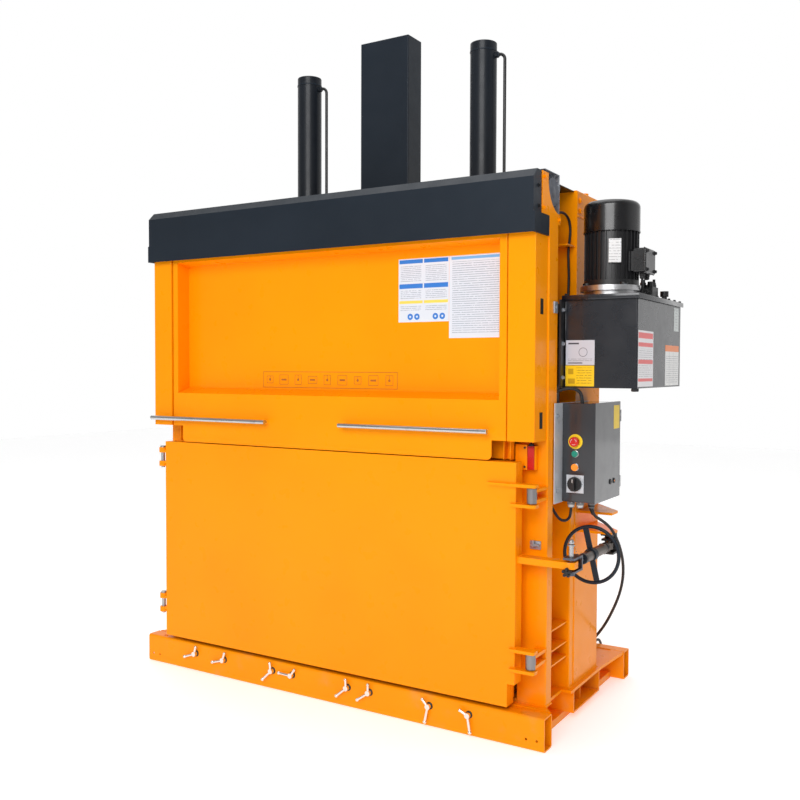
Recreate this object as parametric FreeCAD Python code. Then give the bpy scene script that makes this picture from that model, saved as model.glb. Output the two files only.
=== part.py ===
import FreeCAD, Part
import math
import os
from FreeCAD import Vector

# A mill-size recycling baler. All sizes are in millimetres.
# x runs to the right, z up, and y back from the front face of the base.
# write() moves everything so that the origin is the floor under the base's centre.

os.makedirs("parts", exist_ok=True)

# Clearances
running_gap = 0.05       # a shaft in its bearing, each side
slide_gap = 0.5          # neighbours that pass each other
seat_gap = 0.3           # round pieces that stand in a hole and don't turn
panel_gap = 4.0          # doors and covers beside the frame

# Base
base_margin = 40.0       # the rails end this far outside the columns
base_depth = 1030.0
rail_height = 130.0
rail_depth = 75.0
rail_wall = 6.0
rail_corner = 10.0
deck_thickness = 12.0
foot_front = 366.0
foot_back = 680.0
foot_reach = 22.0        # the feet end this far inside the rails' ends
sill_width = 76.0
sill_height = 30.0
sill_inset = 64.0

# Chamber
chamber_width = 1750.0
wall = 6.0
wall_front = 119.0
wall_back = 960.0
wall_top = 2000.0
beam_bottom = 2060.0
beam_top = 2165.0
floor_plate = 10.0
wall_in = chamber_width / 2
wall_out = wall_in + wall

# Posts and columns
post_width = 115.0       # from the chamber wall to the post's outer face
post_flange = 53.0
column_front = 402.0
column_back = 694.0
column_width = 119.0
post_outer = wall_out + post_width
column_outer = wall_out + column_width
base_length = 2 * (column_outer + base_margin)
brace_front = 356.0
brace_top = 1150.0

# Guide casings of the loading door
casing_bottom = 1165.0
end_plate_top = 2180.0
casing_top = 2150.0
casing_sheet = 4.0
casing_outer = column_outer - 10.0
casing_inner = wall_in + 3.0

# Doors
door_left = -wall_out - 44.0
door_right = wall_out + 35.0
door_front = 2.0
door_depth = 60.0
door_bottom = 145.0
door_top = 1085.0
door_sheet = 5.0
door_pad = 50.0
loading_front = 6.0
loading_half = casing_inner - panel_gap - 2.0
loading_bottom = door_top + panel_gap
apron_top = 1320.0
panel_depth = 79.0
panel_bottom = 1345.0
panel_top = 1925.0
loading_top = 1960.0
stile_width = 31.0
lip_notch = 61.0
lip_notch_depth = 44.0
lip_corner = 20.0
loading_sheet = 4.0

# Hinges on the left and catches on the right of the chamber door
hinge_x = door_left - 23.0
hinge_y = 10.0
hinge_heights = (300.0, 1010.0)
hinge_pin = 9.0
lug_radius = 18.0
lug_thickness = 12.0
catch_x = door_right + 59.0
catch_y = 18.0
catch_heights = (333.0, 962.0)
catch_pin = 11.0
catch_half = 44.0

# Closing spindle
spindle_x = column_outer + 120.0
spindle_z = 712.5
tongue_y = 50.0
tongue_thickness = 25.0
clevis_plate = 8.0
clevis_gap = 8.0
clevis_web = 105.0
lock_pin_radius = 9.0
lock_pin_lift = 42.0
spindle_travel = 10.0
spindle_rod = 10.0
barrel_radius = 20.0
barrel_front = 170.0
barrel_back = 440.0
wheel_y = 270.0
wheel_radius = 110.0
wheel_rim = 7.0
spoke_lean = 13.0
pivot_y = 480.0
trunnion = 8.0
fin_thickness = 10.0
fin_heights = (765.0, 845.0)

# Press
stroke = 800.0
cylinder_x = 487.0
cylinder_y = 574.0
cylinder_radius = 60.0
cylinder_bore = 50.0
cylinder_bottom = 1970.0
cylinder_top = 2897.0
gland_height = 40.0
rod_radius = 30.0
piston_height = 45.0
platen_bottom = 1930.0
platen_plate = 15.0
platen_skirt = 100.0
mast_half = 90.0
mast_depth = 70.0
mast_y = 569.0
cover_half = 132.0
cover_depth = 122.0
cover_top = 2985.0
cover_sheet = 3.0

# Loading door balance
loop_x = wall_out + 54.0
chain_gap = 7.4          # between a chain's front run and its post
loop_top = 2120.0
loop_bottom = 1262.0
sprocket_radius = 58.0
chain_width = 10.0
chain_height = 8.0
chain_radius = sprocket_radius + 0.4 + chain_height / 2
loop_y = wall_front - chain_gap - chain_height / 2 + chain_radius
shaft_radius = 15.0
idler_shaft = 10.0
weight_length = 400.0
weight_top = 1700.0

# Front cover
fascia_half = casing_outer + 3.0
fascia_front = -31.0
fascia_bottom = 1944.0
fascia_edge = 2147.0
fascia_chamfer = 33.0
fascia_sheet = 3.0

# Power pack
tank_left = column_outer + 8.0
tank_width = 290.0
tank_front = 252.0
tank_length = 628.0
tank_bottom = 1366.0
tank_top = 1712.0
tank_wall = 4.0
lid_height = 15.0
lid_overhang = 8.0
motor_x = tank_left + 137.0
motor_y = 400.0
motor_radius = 107.0
flange_radius = 121.0
flange_height = 40.0
motor_top = 1985.0
fan_top = 2100.0
motor_shaft = 14.0
valve_x = tank_left + 239.0
valve_front = 520.0
valve_length = 80.0
valve_height = 46.0
breather_x = tank_left + 276.0
breather_y = 665.0

# Control box
box_left = column_outer + 4.0
box_width = 120.0
box_front = 250.0
box_length = 302.0
box_bottom = 916.0
box_top = 1305.0
box_sheet = 2.0
lid_depth = 14.5
button_x = box_left + 54.0
stop_z = 1155.0
start_z = 1107.0
reset_z = 1054.0
switch_z = 988.0
button_stem = 11.0
gland_radius = 15.0
gland_drop = 26.0
riser_y = loop_y + 46.0
gland_places = ((box_left + 25, 285.0), (box_left + 62, 285.0), (box_left + 100, 310.0))

# Strap levers along the front rail
lever_places = (-725.0, -547.0, -260.0, -149.0, 149.0, 260.0, 547.0, 725.0)
lever_angles = (199.0, 196.0, 223.0, 178.0, 219.0, 215.0, 258.0, 280.0)
lever_z = 85.0
lever_arm = 64.0
lever_tail = 36.0
lever_elbow = 125.0
lever_rod = 5.5
lever_pivot = 7.0

# Supply lead
cord_radius = 6.0
cord_points = (
    (1104, 310, 890), (1106, 328, 858), (1124, 376, 834), (1147, 424, 798),
    (1160, 462, 748), (1166, 497, 695), (1167, 528, 635), (1158, 556, 565),
    (1133, 590, 490), (1094, 630, 412), (1046, 676, 332), (992, 726, 262),
    (940, 778, 206), (906, 846, 166), (894, 914, 150), (893, 974, 151),
    (892, 1036, 150), (891, 1078, 108), (889, 1080, 49), (845, 1073, 6.5),
    (788, 1060, 6.5),
)
coil_x = 745.0
coil_y = base_depth + 100.0
coil_radius = 66.0
coil_band = 18.0
coil_height = 26.0
plug_radius = 27.0
plug_length = 130.0
plug_tail = 18.0
plug_y = base_depth + plug_radius + 11
plug_reach = 47.0        # the plug's tail ends this far from the coil's middle

# Worked out from the sizes above
base_half = base_length / 2
deck_top = rail_height
deck_half = base_half - sill_inset
foot_half = base_half - foot_reach
floor_top = deck_top + floor_plate
tongue_low = spindle_z - tongue_thickness / 2
tongue_high = spindle_z + tongue_thickness / 2
tank_right = tank_left + tank_width
tank_back = tank_front + tank_length
lid_top = tank_top + lid_height
motor_base = lid_top + flange_height
box_right = box_left + box_width
box_back = box_front + box_length


def block(x, y, z):
    """A box between two values on each axis."""
    return Part.makeBox(x[1] - x[0], y[1] - y[0], z[1] - z[0], Vector(x[0], y[0], z[0]))


def rod(radius, start, end):
    """A round bar between two points."""
    start = Vector(*start)
    along = Vector(*end) - start
    return Part.makeCylinder(radius, along.Length, start, along)


def knob(ball, start, end, radius):
    """A round bar that ends in a ball, as one turned shape about the bar's own axis."""
    length = (Vector(*end) - Vector(*start)).Length
    neck = length - math.sqrt(ball ** 2 - radius ** 2)
    corners = [Vector(0, 0, 0), Vector(radius, 0, 0), Vector(radius, 0, neck)]
    top = Vector(0, 0, length + ball)
    side = Vector(ball, 0, length)
    edges = [
        Part.makeLine(corners[0], corners[1]),
        Part.makeLine(corners[1], corners[2]),
        Part.Arc(corners[2], side, top).toShape(),
        Part.makeLine(top, corners[0]),
    ]
    turned = Part.Face(Part.Wire(edges)).revolve(Vector(0, 0, 0), Vector(0, 0, 1), 360)
    turn = FreeCAD.Rotation(Vector(0, 0, 1), Vector(*end) - Vector(*start))
    turned.Placement = FreeCAD.Placement(Vector(*start), turn)
    return turned


def join(*shapes):
    whole = shapes[0].fuse(list(shapes[1:]))
    return whole.removeSplitter()


def plate(points, plane, start, thickness):
    """A flat plate from its outline. plane is the axis that it is extruded along."""
    place = {
        "x": lambda a, b: Vector(start, a, b),
        "y": lambda a, b: Vector(a, start, b),
        "z": lambda a, b: Vector(a, b, start),
    }[plane]
    way = {"x": Vector(1, 0, 0), "y": Vector(0, 1, 0), "z": Vector(0, 0, 1)}[plane]
    corners = [place(a, b) for a, b in points]
    outline = Part.makePolygon(corners + corners[:1])
    return Part.Face(outline).extrude(way * thickness)


def soften(shape, radius, axis, test=lambda point: True):
    """Rounds the straight edges along one axis whose midpoint passes the test."""
    way = {"x": Vector(1, 0, 0), "y": Vector(0, 1, 0), "z": Vector(0, 0, 1)}[axis]
    chosen = []
    for edge in shape.Edges:
        if not isinstance(edge.Curve, Part.Line):
            continue
        along = (edge.Vertexes[-1].Point - edge.Vertexes[0].Point).normalize()
        middle = edge.CenterOfMass
        if abs(along.dot(way)) > 0.999 and test(middle):
            chosen.append(edge)
    return shape.makeFillet(radius, chosen)


def mirrored(shape):
    return shape.mirror(Vector(0, 0, 0), Vector(1, 0, 0))


def both_sides(shape):
    return Part.makeCompound([mirrored(shape), shape])


def bend_path(points, radii):
    """Straight runs joined by tangent arcs."""
    spots = [Vector(*p) for p in points]
    edges = []
    last = spots[0]
    for before, here, after, radius in zip(spots, spots[1:], spots[2:], radii):
        back = (before - here).normalize()
        on = (after - here).normalize()
        half = (math.pi - back.getAngle(on)) / 2
        tangent = radius * math.tan(half)
        start = here + back * tangent
        end = here + on * tangent
        middle = here + (back + on).normalize() * (math.hypot(tangent, radius) - radius)
        edges.append(Part.LineSegment(last, start).toShape())
        edges.append(Part.Arc(start, middle, end).toShape())
        last = end
    edges.append(Part.LineSegment(last, spots[-1]).toShape())
    return Part.Wire(edges)


def round_tube(path, radius):
    """A round bar swept along a path."""
    first = path.Edges[0]
    start = first.Vertexes[0].Point
    along = first.tangentAt(first.FirstParameter)
    ring = Part.Wire(Part.Circle(start, along, radius).toShape())
    return path.makePipeShell([ring], True, True)


def bent_bar(points, bend, radius):
    return round_tube(bend_path(points, [bend] * (len(points) - 2)), radius)


def cord_radii(points):
    """Each bend is as large as its two runs allow."""
    spots = [Vector(*p) for p in points]
    radii = []
    for before, here, after in zip(spots, spots[1:], spots[2:]):
        shorter = min((here - before).Length, (after - here).Length)
        half = (math.pi - (before - here).getAngle(after - here)) / 2
        radii.append(0.45 * shorter / math.tan(half))
    return radii


def write(name, shape):
    shape.translate(Vector(0, -base_depth / 2, 0))
    if not shape.isValid() or not shape.Solids:
        raise ValueError(name + " isn't a valid solid")
    shape.exportStep("parts/" + name + ".step")
    print(name, len(shape.Solids), round(shape.Volume / 1e6, 3), "dm3")


# ---- Base and chamber ----

def rail(front):
    outside = block((-base_half, base_half), (front, front + rail_depth), (0, rail_height))
    outside = soften(outside, rail_corner, "x")
    inside = block(
        (-base_half - 1, base_half + 1),
        (front + rail_wall, front + rail_depth - rail_wall),
        (rail_wall, rail_height - rail_wall),
    )
    return outside.cut(inside)


def base_frame():
    back_rail = base_depth - rail_depth
    deck_low = deck_top - deck_thickness
    box = block((-foot_half, foot_half), (foot_front, foot_back), (sill_height, deck_low))
    box = box.cut(block(
        (-foot_half - 1, foot_half + 1),
        (foot_front + rail_wall, foot_back - rail_wall),
        (sill_height + rail_wall, deck_low + 1),
    ))
    divider_y = (foot_front + foot_back) / 2
    divider = block(
        (-foot_half + 30, foot_half - 30),
        (divider_y - rail_wall / 2, divider_y + rail_wall / 2),
        (sill_height + rail_wall, deck_low),
    )
    deck = block((-deck_half, deck_half), (rail_depth, back_rail), (deck_low, deck_top))
    wide = block((-foot_half, foot_half), (brace_front - 16, column_back + 6), (deck_low, deck_top))
    gusset = plate(
        [(deck_half, column_back + 6), (foot_half, column_back + 6),
         (base_half - 4, back_rail), (deck_half, back_rail)],
        "z", deck_low, deck_thickness)
    corner = plate(
        [(deck_half, rail_depth), (base_half - 4, rail_depth),
         (foot_half - 14, rail_depth + 40), (deck_half, rail_depth + 90)],
        "z", deck_low, deck_thickness)
    sill = block((deck_half - sill_width, deck_half), (rail_depth, back_rail), (0, sill_height))
    sill = sill.cut(block(
        (deck_half - sill_width + rail_wall, deck_half - rail_wall),
        (rail_depth, back_rail),
        (rail_wall, sill_height - rail_wall),
    ))
    whole = join(
        rail(0), rail(back_rail), box, divider, deck, wide, gusset, mirrored(gusset),
        corner, mirrored(corner), sill, mirrored(sill),
    )
    for x in lever_places:
        hole = rod(lever_pivot + running_gap, (x, -1, lever_z), (x, rail_wall + 1, lever_z))
        whole = whole.cut(hole)
    for side in (-1, 1):
        slot = block(
            (side * (wall_out + 65) - 12, side * (wall_out + 65) + 12),
            (18, 32),
            (rail_height - rail_wall - 1, rail_height + 1),
        )
        whole = whole.cut(slot)
        for x in (side * (base_half - 74), side * (base_half - 30)):
            whole = whole.cut(rod(5, (x, -1, 40), (x, rail_wall + 1, 40)))
    return whole


def chamber_floor():
    floor = block(
        (-wall_in + slide_gap, wall_in - slide_gap),
        (wall_front, wall_back),
        (deck_top, floor_top),
    )
    for x in lever_places:
        groove = block((x - 15, x + 15), (wall_front - 1, wall_back + 1), (floor_top - 5, floor_top + 1))
        floor = floor.cut(groove)
    return floor


def side_frame():
    """The right-hand side wall with its post, its column and the ribs between them."""
    low_wall = block((wall_in, wall_out), (wall_front, wall_back), (deck_top, wall_top))
    high_wall = block((wall_in, wall_out), (column_front, column_back), (wall_top, beam_bottom))
    flange = block((wall_out, post_outer), (wall_front, wall_front + wall), (deck_top, wall_top))
    post_side = block(
        (post_outer - wall, post_outer),
        (wall_front, wall_front + post_flange),
        (deck_top, wall_top),
    )
    upper_side = block(
        (post_outer - wall, post_outer),
        (wall_front, wall_front + post_flange + 33),
        (casing_bottom, wall_top),
    )
    column = block((wall_out, column_outer), (column_front, column_back), (deck_top, beam_bottom))
    column = column.cut(block(
        (wall_out, column_outer - wall),
        (column_front + wall, column_back - wall),
        (deck_top, beam_bottom),
    ))
    brace = block((wall_out, column_outer), (brace_front, column_front), (deck_top, brace_top))
    brace = brace.cut(block(
        (wall_out, column_outer - wall),
        (brace_front + wall, column_front),
        (deck_top, brace_top - wall),
    ))
    pieces = [high_wall, flange, post_side, upper_side, column, brace]
    for z in (265, 324, 405):
        pieces.append(block((wall_out, post_outer - wall), (wall_front, brace_front), (z, z + wall)))
    pieces.append(block((wall_out, post_outer - wall), (column_front - 82, column_front), (1935, 1941)))
    whole = join(low_wall, *pieces)
    whole = soften(whole, 5, "z", lambda p: p.x > post_outer - 1 and p.y < wall_front + 1)
    whole = soften(whole, 5, "z", lambda p: p.x > column_outer - 1 and (
        p.y < brace_front + 1 or p.y > column_back - 1))
    slot = block(
        (loop_x - 10, loop_x + 10),
        (wall_front - 1, wall_front + wall + 1),
        (loop_bottom - chain_radius - 12, loop_bottom + chain_radius + 12),
    )
    bearing = rod(
        idler_shaft + running_gap,
        (wall_in - 1, loop_y, loop_bottom),
        (wall_out + 1, loop_y, loop_bottom),
    )
    return whole.cut(slot).cut(bearing)


def left_side_frame():
    whole = mirrored(side_frame())
    for centre in hinge_heights:
        for low in (centre + 33, centre - 33 - lug_thickness):
            ear = rod(lug_radius, (hinge_x, hinge_y, low), (hinge_x, hinge_y, low + lug_thickness))
            arm = block(
                (hinge_x - lug_radius, hinge_x + 12),
                (hinge_y, wall_front),
                (low, low + lug_thickness),
            )
            hole = rod(
                hinge_pin + running_gap,
                (hinge_x, hinge_y, low - 1),
                (hinge_x, hinge_y, low + lug_thickness + 1),
            )
            whole = join(whole, join(ear, arm).cut(hole))
    return whole


def right_side_frame():
    whole = side_frame()
    for centre in catch_heights:
        for low in (centre + 14, centre - 26):
            saddle = block(
                (catch_x - 20, catch_x + 20),
                (catch_y, wall_front),
                (low, low + lug_thickness),
            )
            seat = rod(catch_pin + 1.5, (catch_x, catch_y, low - 1), (catch_x, catch_y, low + 13))
            whole = join(whole, saddle.cut(seat))
    for z in fin_heights:
        fin = plate(
            [(column_outer, pivot_y - 40), (spindle_x + 25, pivot_y - 40),
             (spindle_x + 25, pivot_y + 36), (column_outer, column_back - 14)],
            "z", z, fin_thickness)
        whole = join(whole, fin)
    return whole


def hinge_pins():
    pins = []
    for centre in hinge_heights:
        shank = rod(hinge_pin, (hinge_x, hinge_y, centre - 52), (hinge_x, hinge_y, centre + 46))
        head = rod(
            hinge_pin + 4,
            (hinge_x, hinge_y, centre + 45),
            (hinge_x, hinge_y, centre + 53),
        )
        pins.append(join(shank, head))
    return Part.makeCompound(pins)


def rear_wall():
    sheet = block((-wall_out, wall_out), (wall_back, wall_back + wall), (deck_top, beam_bottom))
    ribs = []
    for x in (-800, -400, 0, 400, 800):
        rib = block((x - 40, x + 40), (wall_back + wall, wall_back + 64), (deck_top, beam_bottom))
        hollow = block(
            (x - 34, x + 34),
            (wall_back + wall, wall_back + 58),
            (deck_top - 1, beam_bottom + 1),
        )
        ribs.append(rib.cut(hollow))
    return join(sheet, *ribs)


def cross_beam():
    outside = block((-column_outer, column_outer), (column_front, column_back), (beam_bottom, beam_top))
    outside = soften(outside, 5, "y", lambda p: p.z > beam_top - 1)
    inside = block(
        (-column_outer + 10, column_outer - 10),
        (column_front + 10, column_back - 10),
        (beam_bottom + 10, beam_top - 10),
    )
    whole = outside.cut(inside)
    for side in (-1, 1):
        whole = whole.cut(rod(
            cylinder_radius + seat_gap,
            (side * cylinder_x, cylinder_y, beam_bottom - 1),
            (side * cylinder_x, cylinder_y, beam_top + 1),
        ))
        x = side * (column_outer - 25)
        bolt = rod(15, (x, 555, beam_top), (x, 555, beam_top + 12))
        whole = join(whole, bolt)
    guide = block(
        (-mast_half - 1, mast_half + 1),
        (mast_y - mast_depth / 2 - 1, mast_y + mast_depth / 2 + 1),
        (beam_bottom - 1, beam_top + 1),
    )
    return whole.cut(guide)


# ---- Covers ----

def guide_casing():
    front = block((casing_inner, casing_outer), (0, casing_sheet), (casing_bottom, casing_top))
    side = block(
        (casing_outer - casing_sheet, casing_outer),
        (0, wall_front),
        (casing_bottom, casing_top),
    )
    lip = block((casing_inner, casing_inner + casing_sheet), (0, 50), (casing_bottom, casing_top))
    whole = join(front, side, lip)
    whole = soften(whole, 3, "z", lambda p: p.y < 1 and (
        p.x > casing_outer - 1 or p.x < casing_inner + 1))
    for low, high in ((1212, 1275), (1645, 1705)):
        whole = whole.cut(block((casing_outer - 10, casing_outer + 10), (48, 80), (low, high)))
    return whole


def end_plate():
    sheet = block((casing_outer, post_outer), (46, 228), (wall_top, end_plate_top))
    arc = rod(122, (casing_outer - 1, 225, 2160), (post_outer + 1, 225, 2160))
    corner = block((casing_outer - 1, post_outer + 1), (45, 110), (wall_top - 1, 2022))
    return sheet.cut(arc).cut(corner)


def wheel_bracket():
    """Galvanised bearing bracket that also roofs over the chain wheel."""
    left = wall_out + 19
    right = casing_outer - casing_sheet - 2
    bearing = block((left, left + 6), (98, 245), (wall_top, 2198))
    roof = block((left, right), (98, 245), (2196, 2198))
    back = block((left, right), (243, 245), (wall_top + 14, 2198))
    foot = block((left, right), (wall_front, wall_front + post_flange), (wall_top, wall_top + 6))
    hole = rod(shaft_radius + running_gap, (left - 1, loop_y, loop_top), (left + 7, loop_y, loop_top))
    slot = block(
        (loop_x - 12, loop_x + 12),
        (loop_y + chain_radius - 12, loop_y + chain_radius + 20),
        (wall_top - 1, wall_top + 16),
    )
    return join(bearing, roof, back, foot).cut(hole).cut(slot)


def top_cover():
    half = casing_outer - 5
    top = block((-half, half), (248, column_front), (beam_top - 5, beam_top - 2))
    lip = block((-half, half), (248, 251), (beam_top - 25, beam_top - 2))
    return join(top, lip)


def fascia_panel():
    outer = fascia_front
    inner = fascia_front + fascia_sheet
    slope = fascia_sheet * math.sqrt(2)
    edge = outer + fascia_chamfer
    profile = [
        (outer, fascia_bottom), (outer, fascia_edge), (edge, fascia_edge + fascia_chamfer),
        (edge, fascia_edge + fascia_chamfer - slope), (inner, fascia_edge - slope + fascia_sheet),
        (inner, fascia_bottom),
    ]
    skin = plate(profile, "x", -fascia_half, 2 * fascia_half)
    cheek_outline = [
        (outer, fascia_bottom), (outer, fascia_edge), (edge, fascia_edge + fascia_chamfer),
        (43, fascia_edge + fascia_chamfer), (43, fascia_bottom),
    ]
    cheek = plate(cheek_outline, "x", casing_outer, fascia_half - casing_outer)
    cap = block((casing_outer, fascia_half + 6), (outer, 108), (fascia_bottom, 2020))
    return join(skin, cheek, mirrored(cheek), cap, mirrored(cap))


def mast_cover():
    front = mast_y - cover_depth / 2
    back = mast_y + cover_depth / 2
    outside = block((-cover_half, cover_half), (front, back), (beam_top, cover_top))
    outside = soften(outside, 4, "z")
    inside = block(
        (-cover_half + cover_sheet, cover_half - cover_sheet),
        (front + cover_sheet, back - cover_sheet),
        (beam_top - 1, cover_top - cover_sheet),
    )
    return outside.cut(inside)


# ---- Press ----

def cylinder():
    x, y = cylinder_x, cylinder_y
    barrel = rod(cylinder_radius, (x, y, cylinder_bottom), (x, y, cylinder_top))
    barrel = barrel.makeFillet(4, [e for e in barrel.Edges if e.CenterOfMass.z > cylinder_top - 1])
    bore = rod(
        cylinder_bore,
        (x, y, cylinder_bottom + gland_height),
        (x, y, cylinder_top - 30),
    )
    seal = rod(rod_radius + running_gap, (x, y, cylinder_bottom - 1), (x, y, cylinder_bottom + 60))
    flange = rod(cylinder_radius + 25, (x, y, beam_top), (x, y, beam_top + 20))
    side = x + cylinder_radius
    port_z = cylinder_top - 60
    port = rod(14, (side - 5, y, port_z), (side + 12, y, port_z))
    return join(barrel, flange, port).cut(bore).cut(seal)


def cylinder_pipe(side):
    x = side * cylinder_x + cylinder_radius + 12
    top = cylinder_top - 60
    points = [(x, cylinder_y, top), (x + 33, cylinder_y, top), (x + 33, cylinder_y, beam_top)]
    pipe = bent_bar(points, 26, 7)
    foot = rod(14, (x + 33, cylinder_y, beam_top), (x + 33, cylinder_y, beam_top + 12))
    return join(pipe, foot)


def platen():
    half = wall_in - 15
    front, back = wall_front + 21, wall_back - 10
    top = platen_bottom + platen_skirt
    tray = block((-half, half), (front, back), (platen_bottom, top))
    tray = tray.cut(block(
        (-half + 10, half - 10),
        (front + 10, back - 10),
        (platen_bottom + platen_plate, top + 1),
    ))
    ribs = []
    for x in (-cylinder_x - 110, -cylinder_x + 110, cylinder_x - 110, cylinder_x + 110):
        ribs.append(block((x - 5, x + 5), (front + 10, back - 10), (platen_bottom + platen_plate, top)))
    low = platen_bottom + platen_plate
    mast = block(
        (-mast_half, mast_half),
        (mast_y - mast_depth / 2, mast_y + mast_depth / 2),
        (low, cover_top - 20),
    )
    mast = mast.cut(block(
        (-mast_half + 6, mast_half - 6),
        (mast_y - mast_depth / 2 + 6, mast_y + mast_depth / 2 - 6),
        (low + 6, cover_top),
    ))
    whole = join(tray, mast, *ribs)
    for x in lever_places:
        groove = block((x - 15, x + 15), (front - 1, back + 1), (platen_bottom - 1, platen_bottom + 8))
        whole = whole.cut(groove)
    return whole


def piston_rod():
    x, y = cylinder_x, cylinder_y
    low = platen_bottom + platen_plate
    piston_top = cylinder_bottom + gland_height + 10 + stroke + piston_height
    foot = rod(rod_radius + 24, (x, y, low), (x, y, low + 16))
    shank = rod(rod_radius, (x, y, low), (x, y, piston_top))
    piston = rod(cylinder_bore - slide_gap, (x, y, piston_top - piston_height), (x, y, piston_top))
    return join(foot, shank, piston)


# ---- Doors ----

def chamber_door():
    back = door_front + door_depth
    pad_half = wall_in - 9
    shell = block((door_left, door_right), (door_front, back), (door_bottom, door_top))
    shell = soften(shell, 4, "z", lambda p: p.y < door_front + 1)
    pad = block((-pad_half, pad_half), (back, back + door_pad), (door_bottom + 5, door_top - 5))
    inside = block(
        (door_left + door_sheet, door_right - door_sheet),
        (door_front + door_sheet, back - door_sheet),
        (door_bottom - 1, door_top - door_sheet),
    )
    pad_inside = block(
        (-pad_half + door_sheet, pad_half - door_sheet),
        (back - door_sheet - 1, back + door_pad - door_sheet),
        (door_bottom - 1, door_top - 5 - door_sheet),
    )
    whole = join(shell, pad).cut(inside).cut(pad_inside)
    step = block(
        (door_right - 31, door_right + 1),
        (door_front - 1, back + 1),
        (door_bottom - 1, door_bottom + 90),
    )
    heel = block(
        (door_right - 31 - door_sheet, door_right - 31),
        (door_front, back),
        (door_bottom, door_bottom + 90),
    )
    shelf = block(
        (door_right - 31 - door_sheet, door_right),
        (door_front, back),
        (door_bottom + 90, door_bottom + 90 + door_sheet),
    )
    whole = join(whole.cut(step), heel, shelf)
    for centre in hinge_heights:
        for low in (centre + 33 - slide_gap - lug_thickness, centre - 33 + slide_gap):
            high = low + lug_thickness
            ear = rod(lug_radius, (hinge_x, hinge_y, low), (hinge_x, hinge_y, high))
            arm = block((hinge_x, door_left + 3), (hinge_y - 8, hinge_y + lug_radius), (low, high))
            hole = rod(
                hinge_pin + 2 * running_gap, (hinge_x, hinge_y, low - 1), (hinge_x, hinge_y, high + 1))
            whole = join(whole, join(ear, arm).cut(hole))
    for centre in catch_heights:
        for low in (centre + catch_half - lug_thickness, centre - catch_half):
            left = door_right - 116 if low > centre and centre > 900 else door_right - 20
            lug = block(
                (left, catch_x + 25), (door_front - 14, door_front + 30), (low, low + lug_thickness))
            lug = soften(lug, 8, "z", lambda p: p.x > catch_x)
            whole = join(whole, lug)
        pin = rod(
            catch_pin,
            (catch_x, catch_y, centre - catch_half),
            (catch_x, catch_y, centre + catch_half),
        )
        whole = join(whole, pin)
    tongue = block(
        (door_right - 30, spindle_x + 22),
        (tongue_y - 30, tongue_y + 25),
        (tongue_low, tongue_high),
    )
    tongue = soften(tongue, 12, "z", lambda p: p.x > spindle_x)
    for back_off in (0, spindle_travel):
        hole = rod(
            lock_pin_radius + 2,
            (spindle_x, tongue_y - back_off, tongue_low - 1),
            (spindle_x, tongue_y - back_off, tongue_high + 1),
        )
        tongue = tongue.cut(hole)
    between = block(
        (spindle_x - lock_pin_radius - 2, spindle_x + lock_pin_radius + 2),
        (tongue_y - spindle_travel, tongue_y),
        (tongue_low - 1, tongue_high + 1),
    )
    return join(whole, tongue.cut(between))


def lip_notch_shape(half, front):
    """The front skin's lower lip stops short of the guide casings, with a round corner."""
    edge = half - lip_notch
    depth = (front - 1, front + lip_notch_depth)
    whole = block((edge - lip_corner, half + 1), depth, (loading_bottom - 1, casing_bottom))
    above = block((edge - lip_corner - 1, edge), depth, (loading_bottom + lip_corner, casing_bottom + 1))
    corner = rod(
        lip_corner,
        (edge - lip_corner, front - 1, loading_bottom + lip_corner),
        (edge - lip_corner, front + lip_notch_depth, loading_bottom + lip_corner),
    )
    return whole.cut(join(above, corner))


def loading_door():
    half = loading_half
    front = loading_front
    back = front + panel_depth
    sheet = loading_sheet
    outline = [
        (front, loading_bottom), (front, apron_top), (back - sheet, panel_bottom),
        (back - sheet, panel_top), (front, panel_top + 12), (front, loading_top),
        (back, loading_top), (back, loading_bottom),
    ]
    body = plate(outline, "x", -half, 2 * half)
    hollow = block(
        (-half + sheet, half - sheet),
        (front + sheet, back - sheet),
        (loading_bottom - 1, apron_top - sheet),
    )
    roof = block(
        (-half + sheet, half - sheet),
        (front + sheet, back - sheet),
        (panel_top + 16, loading_top + 1),
    )
    body = body.cut(hollow).cut(roof)
    stile = block((half - stile_width, half), (front, back), (loading_bottom, loading_top))
    stile = stile.cut(block(
        (half - stile_width + sheet, half - sheet),
        (front + sheet, back + 1),
        (loading_bottom - 1, loading_top + 1),
    ))
    body = join(body, stile, mirrored(stile))
    body = soften(body, 3, "z", lambda p: abs(p.x) > half - 1 and p.y < front + 1)
    notch = lip_notch_shape(half, front)
    body = body.cut(notch).cut(mirrored(notch))
    runners = []
    for z in (casing_bottom + 25, loading_top - 130):
        runner = block((half - 2, loop_x - chain_width / 2 + 3), (front + 52, back), (z, z + 100))
        runners.append(runner)
        runners.append(mirrored(runner))
    clip = block(
        (loop_x - chain_width / 2 - 6, loop_x + chain_width / 2),
        (back - 12, loop_y - chain_radius - chain_height / 2 - slide_gap),
        (casing_bottom + 85, casing_bottom + 125),
    )
    return join(body, clip, mirrored(clip), *runners)


def door_handle(left, right):
    y = loading_front - 38
    z = 1200
    bar = rod(10, (left, y, z), (right, y, z))
    posts = [
        rod(7, (x, y, z), (x, loading_front, z))
        for x in (max(left + 20, 14 - loading_half), right - 20)
    ]
    return join(bar, *posts)


# ---- Loading door balance ----

def chain_loop():
    def stadium(radius):
        ends = [rod(radius, (loop_x - chain_width / 2, loop_y, z), (loop_x + chain_width / 2, loop_y, z))
                for z in (loop_bottom, loop_top)]
        middle = block(
            (loop_x - chain_width / 2, loop_x + chain_width / 2),
            (loop_y - radius, loop_y + radius),
            (loop_bottom, loop_top),
        )
        return join(middle, *ends)
    return stadium(chain_radius + chain_height / 2).cut(stadium(chain_radius - chain_height / 2))


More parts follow.
